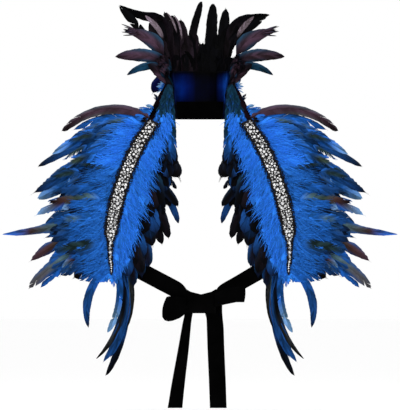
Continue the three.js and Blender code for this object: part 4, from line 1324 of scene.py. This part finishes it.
# Painted glints: tones that a stone's facets are drawn from, bright and dark facets painted in place of
# reflections.
PAINTED_GLINTS = [0.02, 0.2, 0.7, 1.0, 1.0, 1.0, 1.0]
BEADS = {"tries": 1900, "radius": 1.05, "sizes": (0.75, 1.25), "heights": (0.3, 2.4), "tilt": 0.2,
         "at_edge": 0.94, "spread": 2.4, "widest": 6.0, "inset": 0.6, "full_at": 10.0, "least_kept": 0.25,
         "least_beyond": 0.3, "between": 0.9, "sides": 6}
BEAD_RINGS = np.radians([-90, -35, 20, 90])


def packed_stones(rng):
    """Places on the trim for stones of falling sizes that don't overlap: z, distance and size."""
    placed = np.empty((0, 3))
    for size, tries in STONE_SIZES:
        for _ in range(tries):
            z = rng.uniform(STONE["lowest"], STONE["highest"])
            room = float(trim_half(z)) - size / 2 - STONE["edge"]
            if room < 0:
                continue
            distance = rng.uniform(-room, room)
            apart = np.hypot(placed[:, 0] - z, placed[:, 1] - distance)
            if np.all(apart > STONE["closest"] * (placed[:, 2] + size) / 2):
                placed = np.vstack([placed, (z, distance, size)])
    return placed


def seats(z, distance, height, rng, tilt):
    """Places on the wing's front with two ways along it and the way out, tilted a little."""
    place = beside_seam(z, distance, height)
    near = 1.0
    x, z = place[:, 0], place[:, 2]
    slope_x = (wing_depth(x + near, z) - wing_depth(x - near, z)) / (2 * near)
    slope_z = (wing_depth(x, z + near) - wing_depth(x, z - near)) / (2 * near)
    front = np.stack([slope_x, -np.ones_like(x), slope_z], axis=-1)
    front = unit(unit(front) + rng.normal(0, tilt, front.shape))
    right = unit(np.cross(front, [0.0, 0.0, 1.0]))
    return place, right, np.cross(right, front), front


def stone_facets():
    """Triangles of a unit stone, each with its own corners."""
    sides = STONE["sides"]
    rings = []
    for radius, height, turn in STONE_RINGS:
        angle = 2 * np.pi * (np.arange(sides) + turn) / sides
        x, y = radius * np.cos(angle), radius * np.sin(angle)
        rings.append(np.stack([x, y, np.full(sides, height)], axis=1))
    facets = []
    for low, high in zip(rings, rings[1:]):
        for i in range(sides):
            j = (i + 1) % sides
            facets += [(low[i], low[j], high[i]), (low[j], high[j], high[i])]
    return np.array([f for f in facets if np.linalg.norm(np.cross(f[1] - f[0], f[2] - f[0])) > 1e-6])


def stones(rng):
    """Corners and colours of every stone of the left trim, as loose triangles; the colours are painted
    glints.
    """
    spots = packed_stones(rng)
    height = TRIM_HEIGHT + CLOTH - STONE["sunk"]
    place, right, up, front = (
        part[:, None, None] for part in seats(spots[:, 0], spots[:, 1], height, rng, STONE["tilt"]))
    x, y, z = np.moveaxis(stone_facets()[None], -1, 0)
    turn = rng.uniform(0, 2 * np.pi, len(spots))[:, None, None]
    a = x * np.cos(turn) - y * np.sin(turn)
    b = x * np.sin(turn) + y * np.cos(turn)
    radius = spots[:, 2][:, None, None, None] / 2
    spread = a[..., None] * right + b[..., None] * up
    points = place + radius * (spread + z[..., None] * STONE["height"] * front)
    # Painted glints: each facet gets a bright or dark tone in place of a reflection, scaled for each stone.
    painted_glint = rng.choice(PAINTED_GLINTS, points.shape[:2]) * rng.uniform(*STONE["tones"], (len(spots), 1))
    painted_glint = np.clip(painted_glint, 0, 1)[..., None, None] * np.ones((1, 1, 3, 3))
    return points.reshape(-1, 3), painted_glint.reshape(-1, 3)


def beads(rng):
    """Black seed beads along both edges of the trim, uneven, and a few between the stones."""
    z = rng.uniform(SEAM_FOOT, TRIM_TOP, BEADS["tries"])
    z = z[rng.random(len(z)) < np.clip(trim_half(z) / BEADS["full_at"], BEADS["least_kept"], 1)]
    count, half = len(z), trim_half(z)
    beyond = np.abs(rng.normal(0, BEADS["spread"], count)).clip(0, BEADS["widest"]) - BEADS["inset"]
    beyond = beyond * np.clip(half / BEADS["full_at"], BEADS["least_beyond"], 1)
    edge = rng.choice([-1.0, 1.0], count) * (half + beyond)
    between = rng.uniform(-BEADS["between"], BEADS["between"], count) * half
    distance = np.where(rng.random(count) < BEADS["at_edge"], edge, between)
    height = TRIM_HEIGHT + CLOTH + rng.uniform(*BEADS["heights"], count)
    place, *axes = seats(z, distance, height, rng, BEADS["tilt"])
    sides = BEADS["sides"]
    around = 2 * np.pi * np.arange(sides) / sides
    ring, rise = np.cos(BEAD_RINGS)[:, None], np.sin(BEAD_RINGS)[:, None]
    ball = np.stack([ring * np.cos(around), ring * np.sin(around), rise * np.ones(sides)], axis=-1)
    radius = BEADS["radius"] * rng.uniform(*BEADS["sizes"], count)[:, None, None, None]
    points = place[:, None, None] + radius * np.einsum("rkc,ncd->nrkd", ball, np.stack(axes, axis=1))
    quad = ring_quads(len(BEAD_RINGS), sides)
    first = ball.size // 3 * np.arange(count)[:, None, None]
    return points.reshape(-1, 3), (quad[None] + first).reshape(-1, 4)


# Materials


def set_sockets(node, **values):
    for name, value in values.items():
        node.inputs[name.replace("_", " ")].default_value = value


def new_material(name, **values):
    """A material, its nodes and its shader, with values for the shader's sockets."""
    material = bpy.data.materials.new(name)
    material.use_nodes = True
    tree = material.node_tree
    shader = tree.nodes["Principled BSDF"]
    set_sockets(shader, **values)
    return material, tree, shader


def add_node(tree, kind, **values):
    node = tree.nodes.new(f"ShaderNode{kind}")
    set_sockets(node, **values)
    return node


def add_noise(tree, scale, detail=3.0):
    noise = add_node(tree, "TexNoise", Scale=scale, Detail=detail)
    tree.links.new(add_node(tree, "TexCoord").outputs["Object"], noise.inputs["Vector"])
    return noise.outputs["Fac"]


def add_bump(tree, shader, height, strength, distance):
    bump = add_node(tree, "Bump", Strength=strength, Distance=distance)
    tree.links.new(height, bump.inputs["Height"])
    tree.links.new(bump.outputs["Normal"], shader.inputs["Normal"])


def add_ramp(tree, source, stops):
    ramp = add_node(tree, "ValToRGB")
    elements = ramp.color_ramp.elements
    elements.remove(elements[1])
    for place, colour in stops:
        elements.new(place).color = (*colour, 1.0)
    elements.remove(elements[0])
    tree.links.new(source, ramp.inputs["Fac"])
    return ramp.outputs["Color"]


def add_product(tree, first, second):
    mix = tree.nodes.new("ShaderNodeMix")
    mix.data_type = "RGBA"
    mix.blend_type = "MULTIPLY"
    mix.inputs["Factor"].default_value = 1.0
    tree.links.new(first, mix.inputs["A"])
    tree.links.new(second, mix.inputs["B"])
    return mix.outputs["Result"]


def add_tint(tree):
    tint = add_node(tree, "Attribute")
    tint.attribute_name = "tint"
    return tint.outputs["Color"]


def grey(value):
    return (value, value, value)


def feather_material(name):
    material, tree, shader = new_material(name, Roughness=0.5, Specular_IOR_Level=0.025)
    noise = add_noise(tree, scale=260.0)
    mottle = add_ramp(tree, noise, [(0.3, grey(0.78)), (0.7, grey(1.0))])
    # The tint holds the feathers' colours together with their painted highlight and shade.
    tree.links.new(add_product(tree, add_tint(tree), mottle), shader.inputs["Base Color"])
    add_bump(tree, shader, noise, strength=0.25, distance=0.0004)
    return material


def velvet_material(name, warm):
    material, tree, shader = new_material(
        name, Roughness=1.0, Specular_IOR_Level=0.02, Sheen_Weight=0.002, Sheen_Roughness=0.5)
    cloud = add_noise(tree, scale=34.0, detail=6.0)
    colour = add_ramp(tree, cloud, [(0.3, grey(0.0002)), (0.75, warm)])
    tree.links.new(colour, shader.inputs["Base Color"])
    add_bump(tree, shader, add_noise(tree, scale=1800.0), strength=0.3, distance=0.0003)
    return material


# Painted sheen: the satin's highlights, painted into its colour in screen colours across the collar with
# painted shade between them, and their strength upwards, which paints shade towards the bottom and the top.
PAINTED_SHEEN_ACROSS = table("""
    place red green blue
    0.1 7 17 36
    0.24 6 48 150
    0.32 4 30 112
    0.44 2 7 38
    0.72 1 1 12
    0.8 8 36 112
    0.86 28 96 222
    0.95 7 17 36
""")
PAINTED_SHEEN_UP = [(0.3, 0.05), (0.52, 0.8), (0.7, 1.0), (0.84, 0.5), (0.97, 0.03)]
PAINTED_SHEEN_HALF_WIDTH = 70


def satin_material():
    material, tree, shader = new_material("navy satin", Roughness=0.45, Specular_IOR_Level=0.02)
    place = add_node(tree, "TexCoord").outputs["Object"]
    parts = add_node(tree, "SeparateXYZ")
    tree.links.new(place, parts.inputs["Vector"])

    def ramp_along(axis, low, high, stops):
        span = add_node(tree, "MapRange", From_Min=low * MM, From_Max=high * MM)
        tree.links.new(parts.outputs[axis], span.inputs["Value"])
        return add_ramp(tree, span.outputs["Result"], stops)

    # Painted sheen and shade in the base colour, by place on the collar.
    across = [(share, linear(*screen)) for share, *screen in zip(*PAINTED_SHEEN_ACROSS.values())]
    painted_sheen = ramp_along("X", -PAINTED_SHEEN_HALF_WIDTH, PAINTED_SHEEN_HALF_WIDTH, across)
    painted_light_up = ramp_along("Z", 0.0, COLLAR["height"], [(share, grey(value)) for share, value in PAINTED_SHEEN_UP])
    cloud = add_ramp(tree, add_noise(tree, scale=22.0), [(0.35, grey(0.35)), (0.65, grey(1.0))])
    colour = add_product(tree, painted_sheen, add_product(tree, painted_light_up, cloud))
    tree.links.new(colour, shader.inputs["Base Color"])
    weave = add_node(tree, "TexWave", Scale=420.0)
    tree.links.new(place, weave.inputs["Vector"])
    add_bump(tree, shader, weave.outputs["Fac"], strength=0.12, distance=0.0002)
    return material


def stone_material():
    material, tree, shader = new_material(
        "cut glass", Metallic=0.55, Roughness=0.1, Coat_Weight=0.6, Coat_Roughness=0.03)
    # The stones' base colour is their painted glints.
    tree.links.new(add_tint(tree), shader.inputs["Base Color"])
    return material


def bead_material():
    material, tree, shader = new_material("black seed beads", Roughness=0.35, Specular_IOR_Level=0.12)
    stops = [(0.3, grey(0.001)), (0.7, (0.008, 0.006, 0.007))]
    colour = add_ramp(tree, add_noise(tree, scale=300.0), stops)
    tree.links.new(colour, shader.inputs["Base Color"])
    return material


# Pieces

MIRROR = [-1, 1, 1]
BAND_TONE = 0.01


def link(thing):
    bpy.context.scene.collection.objects.link(thing)


def add_piece(node, points, faces, material, mirror=False, colour=None, places=None, smooth=True):
    """A mesh that stands for a node. faces is an array with one row for each face; colour and places in the
    bake map have one row for each point."""
    if mirror:
        points, faces = points * MIRROR, faces[:, ::-1]
    mesh = bpy.data.meshes.new(f"{node}_dressed")
    mesh.vertices.add(len(points))
    mesh.vertices.foreach_set("co", (points * MM).ravel())
    mesh.loops.add(faces.size)
    mesh.loops.foreach_set("vertex_index", faces.ravel().astype(np.int32))
    mesh.polygons.add(len(faces))
    mesh.polygons.foreach_set("loop_start", np.arange(0, faces.size, faces.shape[1], dtype=np.int32))
    mesh.update(calc_edges=True)
    mesh.polygons.foreach_set("use_smooth", np.full(len(faces), smooth))
    if colour is not None:
        layer = mesh.color_attributes.new("tint", "FLOAT_COLOR", "POINT")
        layer.data.foreach_set("color", np.hstack([colour, np.ones((len(colour), 1))]).ravel())
    if places is not None:
        mesh.uv_layers.new(name="OFBake").data.foreach_set("uv", places[faces].ravel())
    mesh.materials.append(material)
    piece = bpy.data.objects.new(mesh.name, mesh)
    link(piece)
    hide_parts(node)
    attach(piece, "root")
    return piece


def add_strips(node, strips, material, mirror=False):
    points, quads, colour, places = strips.arrays()
    add_piece(node, points, quads, material, mirror, colour, places)


def add_trim(node, mirror, materials):
    """Stones, beads and band as one piece."""
    rng = np.random.default_rng(71)
    stone_points, painted_glint = stones(rng)
    bead_points, bead_quads = beads(rng)
    band_points, band_quads = trim_band()
    corners = np.arange(len(stone_points)).reshape(-1, 3)
    soft = np.concatenate([bead_quads, band_quads + len(bead_points)]) + len(stone_points)
    soft = np.concatenate([soft[:, [0, 1, 2]], soft[:, [0, 2, 3]]])
    points = np.concatenate([stone_points, bead_points, band_points])
    colour = np.full((len(points), 3), BAND_TONE)
    colour[:len(painted_glint)] = painted_glint
    faces = np.concatenate([corners, soft])
    piece = add_piece(node, points, faces, materials[0], mirror, colour, smooth=False)
    piece.data.materials.append(materials[1])
    index = np.repeat(np.array([0, 1], np.int32), [len(corners), len(soft)])
    piece.data.polygons.foreach_set("material_index", index)


blue = feather_material("blue cock feather")
teal = feather_material("teal cock feather")
plum = feather_material("plum cock feather")
velvet = velvet_material("black velvet", (0.0012, 0.0012, 0.0013))
base_velvet = velvet_material("plum black velvet", (0.012, 0.005, 0.008))
satin = satin_material()
trim_materials = (stone_material(), bead_material())

WING = {
    "outer_feathers": (outer_feathers(np.random.default_rng(11)), blue),
    "inner_feathers": (inner_feathers(np.random.default_rng(12)), blue),
    "outer_cover": (outer_cover(np.random.default_rng(13)), blue),
    "inner_cover": (inner_cover(np.random.default_rng(14)), blue),
    "under_feathers": (under_feathers(np.random.default_rng(15)), plum),
    "tail_feathers": (tail_feathers(np.random.default_rng(16)), teal),
}
for side, mirror in (("left", False), ("right", True)):
    for name, (strips, material) in WING.items():
        add_strips(f"{side}_{name}", strips, material, mirror)
    base = add_piece(f"{side}_wing_base", *wing_base(), base_velvet, mirror)
    add_trim(f"{side}_trim", mirror, trim_materials)

add_strips("collar_back_feathers", back_feathers(np.random.default_rng(21)), plum)
add_strips("collar_cover_feathers", collar_cover(np.random.default_rng(22)), blue)
right_flares = {key: values[:-1] for key, values in FLARE_FEATHERS.items()}
add_strips("left_collar_feathers", flare_feathers(FLARE_FEATHERS, np.random.default_rng(23)), teal)
add_strips("right_collar_feathers", flare_feathers(right_flares, np.random.default_rng(23)), teal, True)

band = add_piece("collar_band", *collar_wall(0, COLLAR["height"], -CLOTH, 0, pucker=0.25), satin)
inside = -CLOTH - NECK_RIBBON["gap"]
neck_wall = collar_wall(NECK_RIBBON["low"], NECK_RIBBON["high"], inside - RIBBON, inside, pucker=0.2)
neck = add_piece("neck_ribbon", *neck_wall, velvet)

RIBBONS = {
    "left_sash": (ribbon(LEFT_SASH, SEWN_ROWS), "stretched"),
    "right_sash": (ribbon(RIGHT_SASH, SEWN_ROWS), "stretched"),
    "left_tie_end": (ribbon(LEFT_TIE_END), "hung"),
    "right_tie_end": (ribbon(RIGHT_TIE_END), "hung"),
    "left_loop": (loop(LEFT_LOOP, LOOP_SIZES["left"]), "folded"),
    "right_loop": (loop(RIGHT_LOOP, LOOP_SIZES["right"]), "folded"),
}
for node, ((shape, length), held) in RIBBONS.items():
    piece = add_piece(node, *shape, velvet)
wrap = add_piece("bow_knot", *knot(), velvet)

# Camera, floor and light, in metres

FRAME_WIDTH = 0.76
FRAME_MIDDLE = -0.1634
CAMERA_DISTANCE = 25.0
SENSOR = 36
WING_PLANE = -0.09
FLOOR = -0.556
FLOOR_HALF = 20
MIDDLE_PLACE = (0, 0, -0.15)
# Name, place, the place that the light points at, size, power.
LIGHTS = [
    ("key", (-1.0, -2.6, 1.6), MIDDLE_PLACE, 1.6, 16),
    ("fill", (1.6, -2.4, 0.4), MIDDLE_PLACE, 1.8, 5),
    ("top", (0, 0.4, 2.2), (0, -0.05, -0.1), 1.4, 8),
]

camera = bpy.data.objects.new("camera", bpy.data.cameras.new("camera"))
camera.location = (0, -CAMERA_DISTANCE, FRAME_MIDDLE)
camera.rotation_euler = (math.radians(90), 0, 0)
camera.data.sensor_fit = "HORIZONTAL"
camera.data.sensor_width = SENSOR
camera.data.lens = SENSOR * (CAMERA_DISTANCE + WING_PLANE) / FRAME_WIDTH
camera.data.clip_end = 100
link(camera)
bpy.context.scene.camera = camera

corners = [(x * FLOOR_HALF, y * FLOOR_HALF, FLOOR) for x, y in ((-1, -1), (1, -1), (1, 1), (-1, 1))]
floor_mesh = bpy.data.meshes.new("floor")
floor_mesh.from_pydata(corners, [], [(0, 1, 2, 3)])
floor = bpy.data.objects.new("floor", floor_mesh)
floor_material, _, _ = new_material(
    "pale floor", Base_Color=(0.98, 0.98, 0.98, 1), Roughness=0.9, Specular_IOR_Level=0.1)
floor_mesh.materials.append(floor_material)
link(floor)

for name, place, target, size, power in LIGHTS:
    light = bpy.data.lights.new(name, "AREA")
    light.size = size
    light.energy = power
    lamp = bpy.data.objects.new(name, light)
    lamp.location = place
    way = np.array(target) - np.array(place)
    lamp.rotation_euler = (math.acos(-way[2] / np.linalg.norm(way)), 0, math.atan2(-way[0], way[1]))
    link(lamp)

world = bpy.data.worlds.new("studio")
bpy.context.scene.world = world
world.use_nodes = True
set_sockets(world.node_tree.nodes["Background"], Color=(1, 1, 1, 1), Strength=1.0)
bpy.context.scene.view_settings.view_transform = "Standard"
